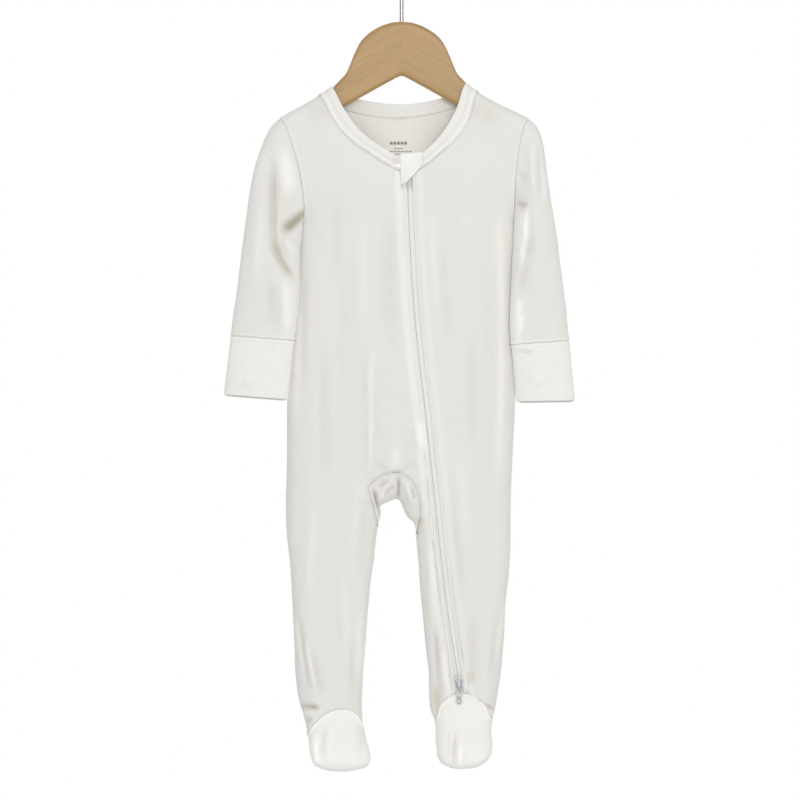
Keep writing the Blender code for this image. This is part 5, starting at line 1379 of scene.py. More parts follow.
def pull_loop(half, low):
    """The pull tab's loop about its window: a round wire of radius half, down to the height low.

    Its path runs through corners and is rounded off by taking twice (a + 2 b + c) / 4 of each three
    points in a row.
    """
    wide = (PULL_WIDTH + PULL_WINDOW_WIDTH) / 4
    corners = np.array([[0, 0], [wide - 0.5, 0], [wide, -0.5], [wide, low + 2.0], [1.5, low + 0.1],
                        [0, low - 0.3]])
    corners = np.concatenate([corners, corners[-2:0:-1] * [-1, 1], corners[:1]])
    run = arc(corners)
    path = np.stack([np.interp(np.linspace(0, run[-1], 73), run, corners[:, k]) for k in (0, 1)], -1)[:-1]
    for _ in range(2):
        path = (np.roll(path, 1, axis=0) + 2 * path + np.roll(path, -1, axis=0)) / 4
    way = unit(np.roll(path, -1, axis=0) - np.roll(path, 1, axis=0))
    path, way = (np.concatenate([line, line[:1]]) for line in (path, way))
    return tube(upright(path), upright(way[:, ::-1] * [1, -1]), half, 15)


def pull_patches():
    """The pull tab: a rounded loop about the window and a tab round the eye.

    The tab is a ring about the eye: at each angle its section runs out from the eye to the outline and
    back, half an ellipse at both ends, with a rail raised along the outer edge.
    """
    half = PULL_THICKNESS / 2
    low = -PULL_WINDOW_LENGTH - half
    end = PULL_RING - PULL_LENGTH
    theta = np.linspace(0, 2 * math.pi, 61)[:, None]
    up, reach = np.cos(theta), low - 0.4 - end
    beside = PULL_WAIST / 2 / np.maximum(np.abs(np.sin(theta)), 1e-3)
    above = np.minimum(np.minimum(beside, reach / np.maximum(up, 1e-3)), reach)
    outline = np.where(up > 0, np.maximum(above, PULL_RING), PULL_RING)
    section = np.linspace(0, 2 * math.pi, 29)[None, :]
    share = (1 - np.cos(section)) / 2
    thick = np.sign(np.sin(section)) * np.abs(np.sin(section)) ** 0.35
    rail = 0.16 * bell(share - 0.82, 0.13) - 0.1 * bell(share - 0.45, 0.2)
    radius = mix(PULL_EYE, outline, share)
    ring = joined(radius * np.sin(theta), (half - 0.1 + rail) * thick, end + radius * np.cos(theta))
    return [local_patch(grid, pull_place()) for grid in (pull_loop(half, low), ring)]


# ---- hanger


def board_patches():
    """The hanger's board: at each x, a rounded rectangle between its lower and its upper line.

    Corners have radius r. Over the last 8 mm of each tip the height closes in a quarter of an ellipse.
    """
    x = BOARD_TIP * np.sin(np.linspace(-math.pi / 2, math.pi / 2, 161))
    x[0], x[-1] = -BOARD_TIP + 1e-3, BOARD_TIP - 1e-3
    reach = np.abs(x)
    arms = [(a, float(shoulder(-a)) - BOARD_CLEARANCE) for a in ARM_STEPS]
    line = np.array(DOME + tuple(arms))
    top = np.where(reach < 50, curve(reach, line[:, 0], line[:, 1]), np.interp(reach, *line.T))
    bottom = BOARD_NOTCH - BOARD_UNDER_SLOPE * np.sqrt(reach**2 + 4) + 1.1
    close = np.sqrt(1 - np.clip((reach - BOARD_TIP + 8) / 8, 0, 1) ** 2)
    middle, tall = (top + bottom) / 2, (top - bottom) / 2 * close
    radius = np.minimum(BOARD_ROUNDING, tall * 0.98)
    near = np.clip(BOARD_ROUNDING - (BOARD_TIP - reach), 0, BOARD_ROUNDING)
    deep = BOARD_THICKNESS / 2 - (BOARD_ROUNDING - np.sqrt(BOARD_ROUNDING**2 - near**2))
    quarter = np.linspace(0, math.pi / 2, 6)
    loop = []
    for up in (1, -1):
        for side, turns in ((-up, quarter), (up, quarter[::-1])):
            loop += [(side * (deep - radius + radius * np.cos(a)), up * (tall - radius + radius * np.sin(a)))
                     for a in turns]
        loop += [(up * deep, up * mix(tall - radius, radius - tall, s)) for s in np.linspace(0, 1, 9)[1:-1]]
    y, z = np.array(loop + loop[:1]).transpose(1, 2, 0)
    points = joined(x[:, None], y, z + middle[:, None])
    ends = [np.broadcast_to(points[k].mean(axis=0), points[k].shape)[None] for k in (0, -1)]
    points = np.concatenate([ends[0], points, ends[1]])
    return [patch(points, points[..., [0, 2]], -1)]


def hook_patches():
    """The wire hook: a round tube along its bent middle line, with a rounded tip.

    The shank is straight, then a cubic Bezier curve leads into the circle of the hook.
    """
    bow = circle((0, WIRE - HOOK_RADIUS), HOOK_RADIUS, HOOK_START, HOOK_END, 73)
    turn = math.radians(HOOK_START)
    lead = bow[0] + 8 * np.array([-math.sin(turn), math.cos(turn)])
    corners = np.array([(0, SHANK_TOP), (0, SHANK_TOP + 10), lead, bow[0]])
    t = np.linspace(0, 1, 30)[:-1, None]
    swan = ((1 - t) ** 3 * corners[0] + 3 * t * (1 - t) ** 2 * corners[1]
            + 3 * t * t * (1 - t) * corners[2] + t**3 * corners[3])
    shank = np.stack([np.zeros(10), np.linspace(SHANK_FOOT, SHANK_TOP, 11)[:-1]], -1)
    path = upright(np.concatenate([shank, swan, bow]))
    way = unit(np.gradient(path, axis=0))
    out = np.stack([way[:, 2], 0 * way[:, 0], -way[:, 0]], -1)
    cap = np.linspace(0, math.pi / 2, 7)[1:]
    tip = path[-1] + WIRE * np.sin(cap)[:, None] * way[-1]
    radius = np.concatenate([[1e-3], np.full(len(path), WIRE), WIRE * np.maximum(np.cos(cap), 1e-3)])
    path = np.concatenate([path[:1], path, tip])
    out = np.concatenate([out[:1], out, np.broadcast_to(out[-1], tip.shape)])
    grid = tube(path, out, radius[:, None, None], 25)
    return [patch(grid, joined(WIRE * np.linspace(0, 2 * math.pi, 25), arc(path)[:, None]), 1)]


# ---- stitches and print


def capsules(places, along, normal, length, width, height):
    """One mesh of small rounded bars: an ellipsoid of 8 by 6 faces at each place."""
    side = unit(np.cross(along, normal))
    lat = np.linspace(0, math.pi, 7)[:, None]
    lon = np.linspace(0, 2 * math.pi, 9)[:-1]
    round_lat = np.sin(lat) ** 0.6
    shape = joined(np.cos(lat) * length / 2, round_lat * np.cos(lon) * width / 2,
                   round_lat * np.sin(lon) * height / 2).reshape(-1, 3)
    points = places[:, None] + np.einsum("kc,ncd->nkd", shape, np.stack([along, side, normal], 1))
    corner = np.arange(7 * 8).reshape(7, 8)
    after = np.roll(corner, -1, axis=1)
    quads = np.stack([corner[:-1], corner[1:], after[1:], after[:-1]], -1).reshape(-1, 4)
    faces = quads[None] + (np.arange(len(places)) * len(shape))[:, None, None]
    return points.reshape(-1, 3), faces.reshape(-1, 4)


def stitch_mesh(name, runs, material):
    """Stitches along several lines: each run gives places, ways along, normals and a stitch's size."""
    points, faces, start = [], [], 0
    for places, along, normal, size in runs:
        made, quads = capsules(places, along, normal, *size)
        points.append(made)
        faces.append(quads + start)
        start += len(made)
    points, faces = np.concatenate(points) * MM, np.concatenate(faces)
    mesh = bpy.data.meshes.new(name)
    mesh.from_pydata(points, [], faces)
    mesh.uv_layers.new(name="Cloth").data.foreach_set("uv", points[faces.ravel()][:, [0, 2]].ravel())
    mesh.polygons.foreach_set("use_smooth", np.ones(len(mesh.polygons), bool))
    weld(mesh, 1e-6)
    mesh.materials.append(material)
    return mesh


def stitch_run(line, normals, pitch, size):
    """Places every pitch along a line, with the way along it and the normal there."""
    run = arc(line)
    at = np.arange(pitch, run[-1] - pitch, pitch)
    places, normal = (np.stack([np.interp(at, run, given[:, k]) for k in range(3)], -1)
                      for given in (line, normals))
    normal = unit(normal)
    along = unit(np.gradient(places, axis=0))
    along = unit(along - normal * (along * normal).sum(-1, keepdims=True))
    return places, along, normal, size


def zip_stitches(leg):
    """The stitches along a turned edge of the zip, in its groove."""
    z = np.linspace(NECK_FOOT - 6, -634, 500)
    x = slot_edge(z, leg) - MIRROR[leg] * HEM_STITCH
    lift = PUFF + 0.45 - 0.18
    line = front_raised(x, z, lift)
    return stitch_run(line, unit(line - front_raised(x, z, lift - 1.0)), 2.6, (1.9, 0.34, 0.26))


def neck_stitches():
    """Two lines of stitches along each quarter of the neckband."""
    runs = []
    for sheet, last, outward in neck_quarters():
        rows = np.linspace(0.02, last, 260)
        for at in BAND_STITCHES:
            share = np.full(rows.shape, at / BAND_WIDTH)
            normals = sheet_normals(sheet, share, rows, outward, -1.0, 1.0, 0.0, float(last))
            runs.append(stitch_run(sheet(share, rows) + 0.86 * normals, normals, 2.2, (1.6, 0.3, 0.24)))
    return runs


def bar_tack():
    """The block of stitches across the neckband's end, beside the zip guard."""
    z = np.arange(-192.4, -180.6, 0.8)
    top = front_raised(np.full(z.shape, -4.6), z, 1.55)
    normal = unit(top - front_raised(np.full(z.shape, -4.6), z, 0.55))
    return top, np.tile([1.0, 0.0, 0.0], (len(z), 1)), normal, (5.0, 0.5, 0.4)


# Rows of the size print inside the back of the neck, as plain dashes.
PRINT = (  # x0, x1, z, height, dashes
    (-10.1, 5.0, -169.4, 2.2, 5),
    (-6.3, 1.3, -173.9, 0.8, 3),
    (-13.3, 8.8, -176.4, 0.8, 7),
    (-8.2, 0.2, -178.6, 0.8, 3),
)


def print_patches():
    """The print's dashes: each is a small sheet just proud of the back's inner face."""
    made = []
    for x0, x1, z, height, count in PRINT:
        pitch = (x1 - x0) / count
        for k in range(count):
            x = np.linspace(x0 + pitch * (k + 0.1), x0 + pitch * (k + 0.85), 5)[None, :]
            flat_x, flat_z = np.broadcast_arrays(x, np.linspace(z - height / 2, z + height / 2, 3)[:, None])
            points = form(flat_x, flat_z, 1)
            points[..., 1] += PUFF - 1.6
            made.append(patch(points, np.stack([flat_x, flat_z], -1), 1))
    return made


# ---- materials


class Graph:
    """Builds a node tree. Each call adds a node and gives back its output: node and split give back all."""

    def __init__(self, tree):
        self.tree = tree

    def give(self, node, values):
        """Links or sets a node's inputs, from a dictionary of values by socket."""
        for name, value in values.items():
            if isinstance(value, bpy.types.NodeSocket):
                self.tree.links.new(value, node.inputs[name])
            else:
                node.inputs[name].default_value = value

    def node(self, kind, values=None, **settings):
        """Adds a node with its settings and its inputs, and gives back its outputs."""
        node = self.tree.nodes.new("ShaderNode" + kind)
        for name, value in settings.items():
            setattr(node, name, value)
        self.give(node, values or {})
        return node.outputs

    def math(self, operation, *values):
        return self.node("Math", dict(enumerate(values)), operation=operation)[0]

    def noise(self, vector, detail=3.0, roughness=0.5, scale=1.0):
        values = {"Vector": vector, "Scale": scale, "Detail": detail, "Roughness": roughness}
        return self.node("TexNoise", values)["Fac"]

    def mapping(self, vector, scale):
        return self.node("Mapping", {"Vector": vector, "Scale": scale})[0]

    def mix_color(self, factor, a, b):
        return self.node("Mix", {0: factor, 6: a, 7: b}, data_type="RGBA")[2]

    def scaled(self, color, factor):
        return self.node("VectorMath", {0: color, "Scale": factor}, operation="SCALE")[0]

    def spread(self, *values):
        """A value between low and high, spread to the range from to_low to to_high."""
        return self.node("MapRange", dict(enumerate(values)))[0]

    def split(self, vector):
        return self.node("SeparateXYZ", {0: vector})

    def cloth_uv(self):
        return self.node("UVMap", uv_map="Cloth")[0]

    def bump(self, height, distance, strength):
        return self.node("Bump", {"Distance": distance, "Strength": strength, "Height": height})[0]


KNIT_PITCH = {"Wale": 0.0006, "Course": 0.00045}  # metres from column to column and from row to row


def knit_group():
    """Single jersey: columns of V stitches, and the faint crosswise streaks of uneven yarn.

    Fabric is the cloth's UV in metres. Height and Streak run from 0 to 1.
    """
    group = bpy.data.node_groups.new("Knit", "ShaderNodeTree")
    for label, way, kind in (("Fabric", "INPUT", "Vector"), ("Wale", "INPUT", "Float"),
                             ("Course", "INPUT", "Float"), ("Height", "OUTPUT", "Float"),
                             ("Streak", "OUTPUT", "Float")):
        socket = group.interface.new_socket(label, in_out=way, socket_type="NodeSocket" + kind)
        if label in KNIT_PITCH:
            socket.default_value = KNIT_PITCH[label]
    g, given = Graph(group), group.nodes.new("NodeGroupInput").outputs
    u, v = g.split(given["Fabric"])[:2]
    wale, course = g.math("DIVIDE", u, given["Wale"]), g.math("DIVIDE", v, given["Course"])
    inside = g.math("ABSOLUTE", g.math("SUBTRACT", g.math("FRACT", wale), 0.5))
    slant = g.math("ADD", course, g.math("MULTIPLY", inside, 1.3))
    loops = g.math("SINE", g.math("MULTIPLY", slant, 2 * math.pi))
    ridge = g.math("COSINE", g.math("MULTIPLY", g.math("SUBTRACT", inside, 0.25), 4 * math.pi))
    ridge = g.math("MULTIPLY_ADD", ridge, 0.25, 0.5)
    height = g.math("MULTIPLY_ADD", g.math("MULTIPLY", loops, 0.25), 1.0, ridge)
    streaks = g.noise(g.mapping(given["Fabric"], (45, 620, 1)), 3.0, 0.6)
    g.give(group.nodes.new("NodeGroupOutput"), {"Height": height, "Streak": streaks})
    return group


def new_material(name, sockets):
    """A material, its graph and its Principled shader, whose sockets get the values given for them."""
    material = bpy.data.materials.new(name)
    material.use_nodes = True
    g, shader = Graph(material.node_tree), material.node_tree.nodes["Principled BSDF"]
    g.give(shader, sockets)
    return material, g, shader


def cloth_material(name, props, color, double_color, roughness=0.6, bump=0.00004):
    """Jersey: the knit's colour and bump, lighter where the cloth is doubled, partly as painted light for the
    shade that shows less through two layers, with a soft sheen.

    Painted shade makes it warmer and darker in its creases, and a painted highlight makes it lighter on their
    swells.
    """
    material, g, shader = new_material(name, {
        "Roughness": roughness, "Specular IOR Level": 0.3, "Sheen Weight": 0.45, "Sheen Roughness": 0.4,
        "Subsurface Weight": 0.25, "Subsurface Radius": (1.0, 0.93, 0.82), "Subsurface Scale": 0.002,
    })
    group = bpy.data.node_groups.get("Knit") or knit_group()
    knit = g.node("Group", {"Fabric": g.cloth_uv()}, node_tree=group)
    backing, crease_shading = (g.node("Attribute", attribute_name=label)["Fac"] for label in ("backing", "crease_shading"))
    # painted shade: a warm tint where the cloth sinks in creases
    painted_shade_tint = (color[0], color[1] * 0.94, color[2] * 0.77, 1)
    base = g.mix_color(backing, (*color, 1), (*double_color, 1))
    base = g.mix_color(g.spread(crease_shading, -0.3, -4.0, 0.0, 1.0), base, painted_shade_tint)
    cloud = g.noise(g.mapping(g.node("TexCoord")["Object"], (9, 9, 5)), 2.0)
    shade = g.math("ADD", g.spread(knit["Streak"], 0.3, 0.7, -props.streaks, props.streaks),
                   g.spread(cloud, 0.3, 0.7, 0.994, 1.006))
    # painted shade where the cloth sinks and painted highlight where it swells
    shade = g.math("ADD", shade, g.spread(crease_shading, -5.0, 3.0, -0.38, 0.25))
    # painted shade in the knit's dips and painted highlight on its loops, from the bump's height
    shade = g.math("ADD", shade, g.spread(knit["Height"], 0.0, 1.0, -0.02, 0.02))
    g.give(shader, {"Base Color": g.scaled(base, shade), "Normal": g.bump(knit["Height"], bump, 0.7)})
    return material


def tape_material(name, color):
    """Woven zip tape: fine ribs along the tape crossed by picks, with painted shade in the weave's dips and a
    painted shadow by the guard.
    """
    material, g, shader = new_material(name, {"Roughness": 0.6, "Specular IOR Level": 0.35})
    u, v = g.split(g.cloth_uv())[:2]
    ribs = g.math("SINE", g.math("MULTIPLY", u, 2 * math.pi / 0.0007))
    picks = g.math("SINE", g.math("MULTIPLY", v, 2 * math.pi / 0.0005))
    height = g.math("ADD", g.math("MULTIPLY", ribs, 0.5), g.math("MULTIPLY", picks, 0.3))
    # painted shade in the weave's dips, and a painted shadow where the tape lies above -0.207 m, under the
    # guard
    shade = g.math("MULTIPLY", g.spread(height, -0.8, 0.8, 0.97, 1.02),
                   g.spread(v, -0.211, -0.207, 1.0, 0.79))
    g.give(shader, {"Base Color": g.scaled(color, shade), "Normal": g.bump(height, 0.00004, 0.6)})
    return material


def hard_material(name, color, roughness, metallic=0.0, coat=0.0, grain=0.02, scale=900):
    """Enamel, nylon or steel: a plain colour with fine uneven polish."""
    material, g, shader = new_material(name, {
        "Base Color": (*color, 1), "Metallic": metallic, "Coat Weight": coat, "Coat Roughness": 0.2,
    })
    fine = g.noise(g.node("TexCoord")["Object"], 2.0, scale=scale)
    g.give(shader, {"Roughness": g.spread(fine, 0.3, 0.7, roughness - grain, roughness + grain),
                    "Normal": g.bump(fine, 0.00002, 0.4)})
    return material


def slider_material(name, color, tint):
    """Enamelled metal, from across and along on the slider: a tinted wedge under the bridge, narrow at its
    lower end, a painted shadow in a narrow band beside it, and painted shade in the hollow about the tab's
    eye."""
    material = hard_material(name, color, 0.32, 0.0, 0.3)
    g = Graph(material.node_tree)
    u, v = g.split(g.cloth_uv())[:2]
    off = g.math("ABSOLUTE", u)
    edge = g.math("SUBTRACT", off, g.math("MULTIPLY_ADD", v, 0.24, 0.0015))
    above = g.spread(v, -0.0056, -0.0048, 0, 1)
    wedge = g.math("MULTIPLY", g.spread(edge, -0.0002, 0.0002, 1, 0), above)
    # painted shadow in a narrow band beside the wedge, down to the bridge's lower end
    gap_shadow = g.spread(g.math("ABSOLUTE", g.math("SUBTRACT", edge, 0.0006)), 0.0002, 0.0006, 1, 0)
    gap_shadow = g.math("MULTIPLY", g.math("MULTIPLY", gap_shadow, above), g.spread(v, 0.002, 0.004, 1, 0))
    # painted shade in the hollow about the tab's eye
    hollow = g.math("MULTIPLY", g.spread(off, 0.0012, 0.0018, 1, 0), g.spread(v, -0.009, -0.008, 1, 0))
    base = g.mix_color(wedge, (*color, 1), (*tint, 1))
    base = g.mix_color(hollow, base, (0.38, 0.41, 0.38, 1))
    base = g.mix_color(gap_shadow, base, (0.2, 0.21, 0.21, 1))
    g.give(g.tree.nodes["Principled BSDF"], {"Base Color": base})
    return material


GRAIN_SLOPE = math.radians(29)


def wood_material(name, light, dark):
    """Two boards joined in the middle: the grain slants down to both sides in a chevron.

    Distance to the middle replaces X, the grain runs down at an angle, and stretched noise gives its
    streaks and pores.
    """
    material, g, shader = new_material(name, {"Roughness": 0.45, "Coat Weight": 0.15, "Coat Roughness": 0.3})
    x, y, z = g.split(g.node("TexCoord")["Object"])[:3]
    away = g.math("ABSOLUTE", x)
    run, rise = math.cos(GRAIN_SLOPE), math.sin(GRAIN_SLOPE)
    along = g.math("SUBTRACT", g.math("MULTIPLY", away, run), g.math("MULTIPLY", z, rise))
    across = g.math("ADD", g.math("MULTIPLY", away, rise), g.math("MULTIPLY", z, run))
    along = g.math("ADD", along, g.math("MULTIPLY", g.math("SIGN", x), 0.13))
    place_in_grain = g.node("CombineXYZ", {0: along, 1: y, 2: across})[0]
    rings, pores, broad = (g.noise(g.mapping(place_in_grain, scale), detail, roughness)
                           for scale, detail, roughness in (((9, 60, 330), 4.0, 0.6),
                                                            ((90, 900, 1500), 2.0, 0.5),
                                                            ((6, 20, 60), 2.0, 0.5)))
    tone = g.math("ADD", g.math("MULTIPLY", rings, 0.55), g.math("MULTIPLY", broad, 0.45))
    base = g.mix_color(g.spread(tone, 0.35, 0.65, 0.0, 1.0), (*dark, 1), (*light, 1))
    fleck = g.math("MULTIPLY_ADD", g.spread(pores, 0.28, 0.42, 0.0, 1.0), 0.45, 0.55)
    base = g.mix_color(fleck, (dark[0] * 0.8, dark[1] * 0.75, dark[2] * 0.7, 1), base)
    base = g.scaled(base, g.spread(away, 0.0, 0.0004, 0.92, 1.0))
    g.give(shader, {"Base Color": base, "Normal": g.bump(rings, 0.0001, 0.25)})
    return material


def shade_of(color, share):
    """A colour times a share, no brighter than 1."""
    return tuple(min(1.0, c * share) for c in color)


def looks(props):
    """All the materials by name, made once."""
    made = {m.name: m for m in bpy.data.materials if m.get("sleepsuit")}
    if made:
        return made
    white, tape, enamel, wood, steel = (
        tuple(color) for color in (props.jersey, props.tape, props.enamel, props.wood, props.steel)
    )
    # Doubled cloth is whiter, and this lighter colour (and the guard's below) is partly painted light: less
    # shade shows through two layers.
    double = shade_of(white, 1.11)
    made = [
        cloth_material("Jersey", props, white, double),
        cloth_material("Double jersey", props, double, double, bump=0.00003),
        # The foot tops are painted lighter, as painted light where they face the light; their lower roughness
        # is their satin sheen.
        cloth_material("Vamp jersey", props, shade_of(white, 1.09), shade_of(white, 1.2), 0.55),
        tape_material("Zip tape", tape),
        cloth_material("Guard jersey", props, tape, shade_of(tape, 1.08), bump=0.00003),
        hard_material("Coil nylon", tape, 0.4),
        slider_material("Slider enamel", enamel, (0.57, 0.55, 0.62)),
        hard_material("Thread", (0.9, 0.89, 0.86), 0.6, 0.0, 0.0, 0.05, 3000),
        hard_material("Print", (0.3, 0.25, 0.22), 0.8),
        wood_material("Varnished beech", wood, shade_of(wood, 0.8)),
        hard_material("Drawn steel", steel, 0.25, 1.0, 0.0, 0.05, 400),
    ]
    for material in made:
        material["sleepsuit"] = True
    return {m.name: m for m in made}


# ---- settings


class SleepsuitProperties(bpy.types.PropertyGroup):
    step: FloatProperty(
        name="Cloth step", description="Distance between the points across the cloth, in millimetres",
        default=1.5, min=0.8, max=6.0,
    )
    thickness: FloatProperty(
        name="Jersey thickness", description="Thickness of one layer of the jersey, in millimetres",
        default=0.7, min=0.3, max=1.2,
    )
    streaks: FloatProperty(
        name="Yarn streaks", description="Share by which uneven yarn lightens and darkens the knit",
        default=0.01, min=0.0, max=0.1,
    )
    jersey: FloatVectorProperty(
        name="Jersey", description="Colour of the cloth", subtype="COLOR", default=(0.768, 0.763, 0.727),
        min=0, max=1,
    )
    tape: FloatVectorProperty(
        name="Tape", description="Colour of the zip's tapes and guard", subtype="COLOR",
        default=(0.78, 0.80, 0.775), min=0, max=1,
    )
    enamel: FloatVectorProperty(
        name="Slider", description="Colour of the slider and its tab", subtype="COLOR",
        default=(0.60, 0.61, 0.60), min=0, max=1,
    )
    wood: FloatVectorProperty(
        name="Wood", description="Colour of the hanger's board", subtype="COLOR",
        default=(0.445, 0.275, 0.105), min=0, max=1,
    )
    steel: FloatVectorProperty(
        name="Steel", description="Colour of the hook's wire", subtype="COLOR",
        default=(0.45, 0.44, 0.43), min=0, max=1,
    )


class StageProperties(bpy.types.PropertyGroup):
    distance: FloatProperty(
        name="Camera distance", description="From the camera to the middle of the cloth", default=4.0,
        min=0.3, max=9.0, unit="LENGTH",
    )
    lens: FloatProperty(
        name="Lens", description="Focal length in millimetres", default=214.3, min=20, max=400,
    )
    fill: FloatProperty(
        name="Fill light", description="Strength of the even light from all round", default=0.705,
        min=0, max=3,
    )
    key: FloatProperty(
        name="Key light", description="Power of the large soft light in front", default=5.05, min=0, max=200,
        unit="POWER",
    )


FLOOR_HALF, FLOOR_HEIGHT = 0.9, -0.95  # metres
VIEW_CENTRE = (-1.3, -385.6)  # x and z of the camera
WARM = (1.0, 0.985, 0.965)
LIGHTS = (  # name, place, aim, width, share of the key light's power, colour
    ("Front", (0.3, -2.3, 0.25), (0, 0, -0.4), 0.9, 3.4, WARM),
    ("Low", (0.2, -2.3, -0.9), (0, 0, -0.5), 0.7, 0.6, WARM),
    ("Back", (-0.2, 2.3, 0.2), (0, 0, -0.4), 0.9, 2.4, (1.0, 0.99, 0.98)),
    ("Neck", (0, -0.003, -0.197), (0, 0.02, -0.16), 0.03, 0.0007, WARM),
)


# ---- operators


def look(name):
    return looks(bpy.context.scene.sleepsuit)[name]


def cloth_piece(name, patches, material, node, thickness):
    """Builds a cut piece of cloth and gives it its thickness."""
    piece = place(name, build_mesh(name, patches, look(material)), SUIT, node, thickness)


def hard_piece(name, patches, material, node, merge, body=SUIT, thickness=0.0):
    """Builds a piece of metal, nylon or wood."""
    piece = place(name, build_mesh(name, patches, look(material), merge), body, node, thickness)


class SLEEPSUIT_OT_body(bpy.types.Operator):
    """Build the two fronts, the back and the gusset"""

    bl_idname = "sleepsuit.body"
    bl_label = "Body"

    def execute(self, context):
        props = context.scene.sleepsuit
        thick = props.thickness
        cloth_piece("right_front", front_right_patches(props), "Jersey", "front_right", thick)
        cloth_piece("left_front", front_left_patches(props), "Jersey", "front_left", thick)
        cloth_piece("back_panel", back_patches(props), "Jersey", "back", thick)
        cloth_piece("crotch_gusset", gusset_patches(), "Jersey", "gusset", thick)
        return {"FINISHED"}


class SLEEPSUIT_OT_feet(bpy.types.Operator):
    """Build the tops and the soles of the feet"""

    bl_idname = "sleepsuit.feet"
    bl_label = "Feet"

    def execute(self, context):
        thick = context.scene.sleepsuit.thickness
        for leg in LEGS:
            cloth_piece(f"{leg}_foot_top", foot_patches(leg, -1), "Vamp jersey", f"foot_top_{leg}", thick)
            cloth_piece(f"{leg}_sole", foot_patches(leg, 1), "Jersey", f"sole_{leg}", thick)
        return {"FINISHED"}


class SLEEPSUIT_OT_sleeves(bpy.types.Operator):
    """Build the sleeves and their folded cuffs"""

    bl_idname = "sleepsuit.sleeves"
    bl_label = "Sleeves and cuffs"

    def execute(self, context):
        thick = context.scene.sleepsuit.thickness
        for leg in LEGS:
            cloth_piece(f"{leg}_sleeve", sleeve_patches(leg), "Jersey", f"sleeve_{leg}", thick)
            cloth_piece(f"{leg}_cuff", cuff_patches(leg), "Double jersey", f"cuff_{leg}", 0.6)
        return {"FINISHED"}


class SLEEPSUIT_OT_neck(bpy.types.Operator):
    """Build the neckband, the zip guard and the size print"""

    bl_idname = "sleepsuit.neck"
    bl_label = "Neck"

    def execute(self, context):
        cloth_piece("neck_binding", neckband_patches(), "Double jersey", "neckband", 0.5)
        cloth_piece("guard_flap", guard_patches(), "Guard jersey", "zip_guard", 0.7)
        place("size_print", build_mesh("size_print", print_patches(), look("Print"), 0.001))
        return {"FINISHED"}


class SLEEPSUIT_OT_zip(bpy.types.Operator):
    """Build the zip's tapes, coil and slider, and its pull tab"""

    bl_idname = "sleepsuit.zip"
    bl_label = "Zip"

    def execute(self, context):
        for leg in LEGS:
            cloth_piece(f"{leg}_zip_tape", tape_patches(leg), "Zip tape", f"zip_tape_{leg}", 0.5)
        hard_piece("coil_ribs", coil_patches(), "Coil nylon", "zip_coil", 0.05, thickness=0.4)
        hard_piece("slider_body", slider_patches(), "Slider enamel", "zip_slider", 0.002)
        hard_piece("pull_tab", pull_patches(), "Slider enamel", "zip_pull", 0.002, PULL)
        return {"FINISHED"}


class SLEEPSUIT_OT_stitches(bpy.types.Operator):
    """Build the visible stitches of the zip's edges and the neckband"""

    bl_idname = "sleepsuit.stitches"
    bl_label = "Stitches"

    def execute(self, context):
        runs = [*map(zip_stitches, LEGS), *neck_stitches(), bar_tack()]
        place("stitches", stitch_mesh("stitches", runs, look("Thread")))
        return {"FINISHED"}


class SLEEPSUIT_OT_hanger(bpy.types.Operator):
    """Build the hanger's board and its wire hook"""

    bl_idname = "sleepsuit.hanger"
    bl_label = "Hanger"

    def execute(self, context):
        hard_piece("wood_board", board_patches(), "Varnished beech", "hanger", 0.01)
        hard_piece("wire_hook", hook_patches(), "Drawn steel", "hanger_hook", 0.01)
        return {"FINISHED"}


def studio(fill):
    """A world that lights evenly, and that the camera sees as plain white."""
    world = bpy.data.worlds.new("Studio")
    world.use_nodes = True
    g, nodes = Graph(world.node_tree), world.node_tree.nodes
    g.give(nodes["Background"], {"Color": (1.0, 0.99, 0.985, 1), "Strength": fill})
    seen = g.node("Background", {"Color": (1, 1, 1, 1), "Strength": 1.0})[0]
    ray = g.node("LightPath")["Is Camera Ray"]
    blend = g.node("MixShader", {0: ray, 1: nodes["Background"].outputs[0], 2: seen})[0]
    g.give(nodes["World Output"], {"Surface": blend})
    return world


def add_lamp(scene, name, place_at, aim, wide, power, color):
    """A round soft light that the camera doesn't see, turned from its place to its aim."""
    light = bpy.data.lights.new(name, "AREA")
    light.shape = "DISK"
    light.size, light.energy, light.color = wide, power, color
    lamp = bpy.data.objects.new(name, light)
    way = np.array(aim, float) - np.array(place_at, float)
    lamp.location = place_at
    lamp.visible_camera = False
    lamp.rotation_euler = (math.atan2(math.hypot(way[0], way[1]), -way[2]), 0, math.atan2(-way[0], way[1]))
    scene.collection.objects.link(lamp)


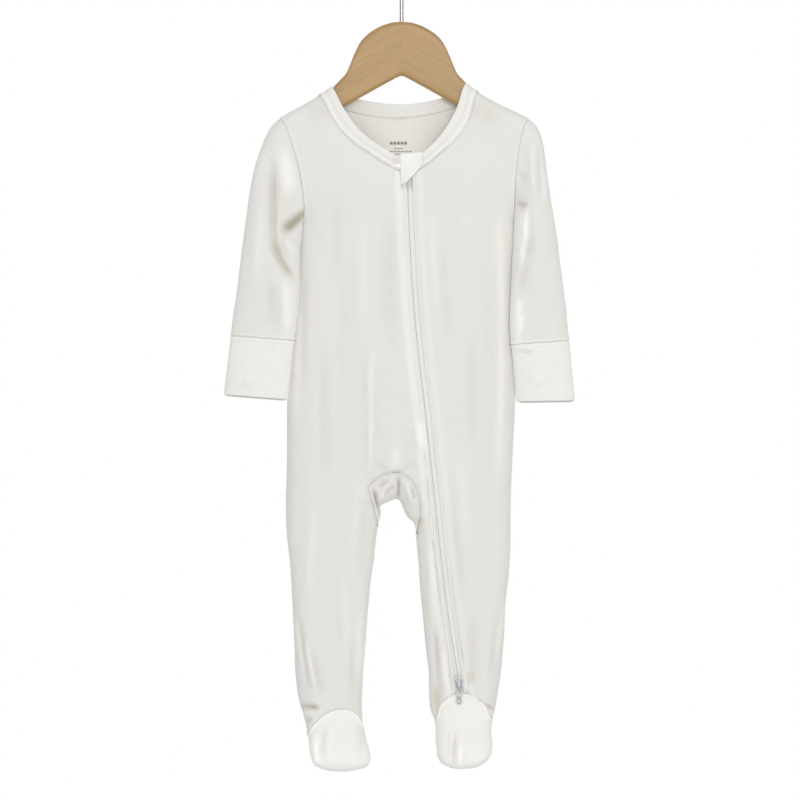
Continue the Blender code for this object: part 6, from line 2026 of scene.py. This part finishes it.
class SLEEPSUIT_OT_stage(bpy.types.Operator):
    """Set up the plain floor, the soft light and the camera"""

    bl_idname = "sleepsuit.stage"
    bl_label = "Stage"

    def execute(self, context):
        scene, props = context.scene, context.scene.sleepsuit_stage
        scene.view_settings.view_transform = "Standard"
        corners = [(x * FLOOR_HALF, y * FLOOR_HALF, FLOOR_HEIGHT)
                   for x, y in ((-1, -1), (1, -1), (1, 1), (-1, 1))]
        floor = bpy.data.meshes.new("Floor")
        floor.from_pydata(corners, [], [(0, 1, 2, 3)])
        floor.materials.append(hard_material("Floor", (0.8, 0.8, 0.8), 0.8))
        stage = bpy.data.objects.new("Floor", floor)
        scene.collection.objects.link(stage)

        scene.world = studio(props.fill)
        for name, place_at, aim, wide, share, color in LIGHTS:
            add_lamp(scene, name, place_at, aim, wide, props.key * share, color)

        lens = bpy.data.cameras.new("Camera")
        lens.lens, lens.sensor_width = props.lens, 36
        camera = bpy.data.objects.new("Camera", lens)
        camera.location = (VIEW_CENTRE[0] * MM, -props.distance, VIEW_CENTRE[1] * MM)
        camera.rotation_euler = (math.pi / 2, 0, 0)
        scene.collection.objects.link(camera)
        scene.camera = camera
        return {"FINISHED"}


class SLEEPSUIT_PT_panel(bpy.types.Panel):
    """Sizes, colours and light of the sleepsuit"""

    bl_label = "Sleepsuit"
    bl_idname = "SLEEPSUIT_PT_panel"
    bl_space_type = "VIEW_3D"
    bl_region_type = "UI"
    bl_category = "Sleepsuit"

    def draw(self, context):
        for props in (context.scene.sleepsuit, context.scene.sleepsuit_stage):
            column = self.layout.column(align=True)
            for name in props.bl_rna.properties.keys():
                if name not in ("rna_type", "name"):
                    column.prop(props, name)
        for step in STEPS:
            self.layout.operator(step.bl_idname)


STEPS = (
    SLEEPSUIT_OT_body, SLEEPSUIT_OT_feet, SLEEPSUIT_OT_sleeves, SLEEPSUIT_OT_neck, SLEEPSUIT_OT_zip,
    SLEEPSUIT_OT_stitches, SLEEPSUIT_OT_hanger, SLEEPSUIT_OT_stage,
)
CLASSES = (SleepsuitProperties, StageProperties, *STEPS, SLEEPSUIT_PT_panel)


def register():
    """Adds the classes and their settings to Blender."""
    for item in CLASSES:
        bpy.utils.register_class(item)
    bpy.types.Scene.sleepsuit = PointerProperty(type=SleepsuitProperties)
    bpy.types.Scene.sleepsuit_stage = PointerProperty(type=StageProperties)


def unregister():
    """Takes the settings and the classes out of Blender again."""
    del bpy.types.Scene.sleepsuit_stage
    del bpy.types.Scene.sleepsuit
    for item in reversed(CLASSES):
        bpy.utils.unregister_class(item)


def main():
    """Builds every piece and the stage."""
    register()
    for step in (
        bpy.ops.sleepsuit.body, bpy.ops.sleepsuit.feet, bpy.ops.sleepsuit.sleeves, bpy.ops.sleepsuit.neck,
        bpy.ops.sleepsuit.zip, bpy.ops.sleepsuit.stitches, bpy.ops.sleepsuit.hanger, bpy.ops.sleepsuit.stage,
    ):
        step()


if __name__ == "__main__":
    main()
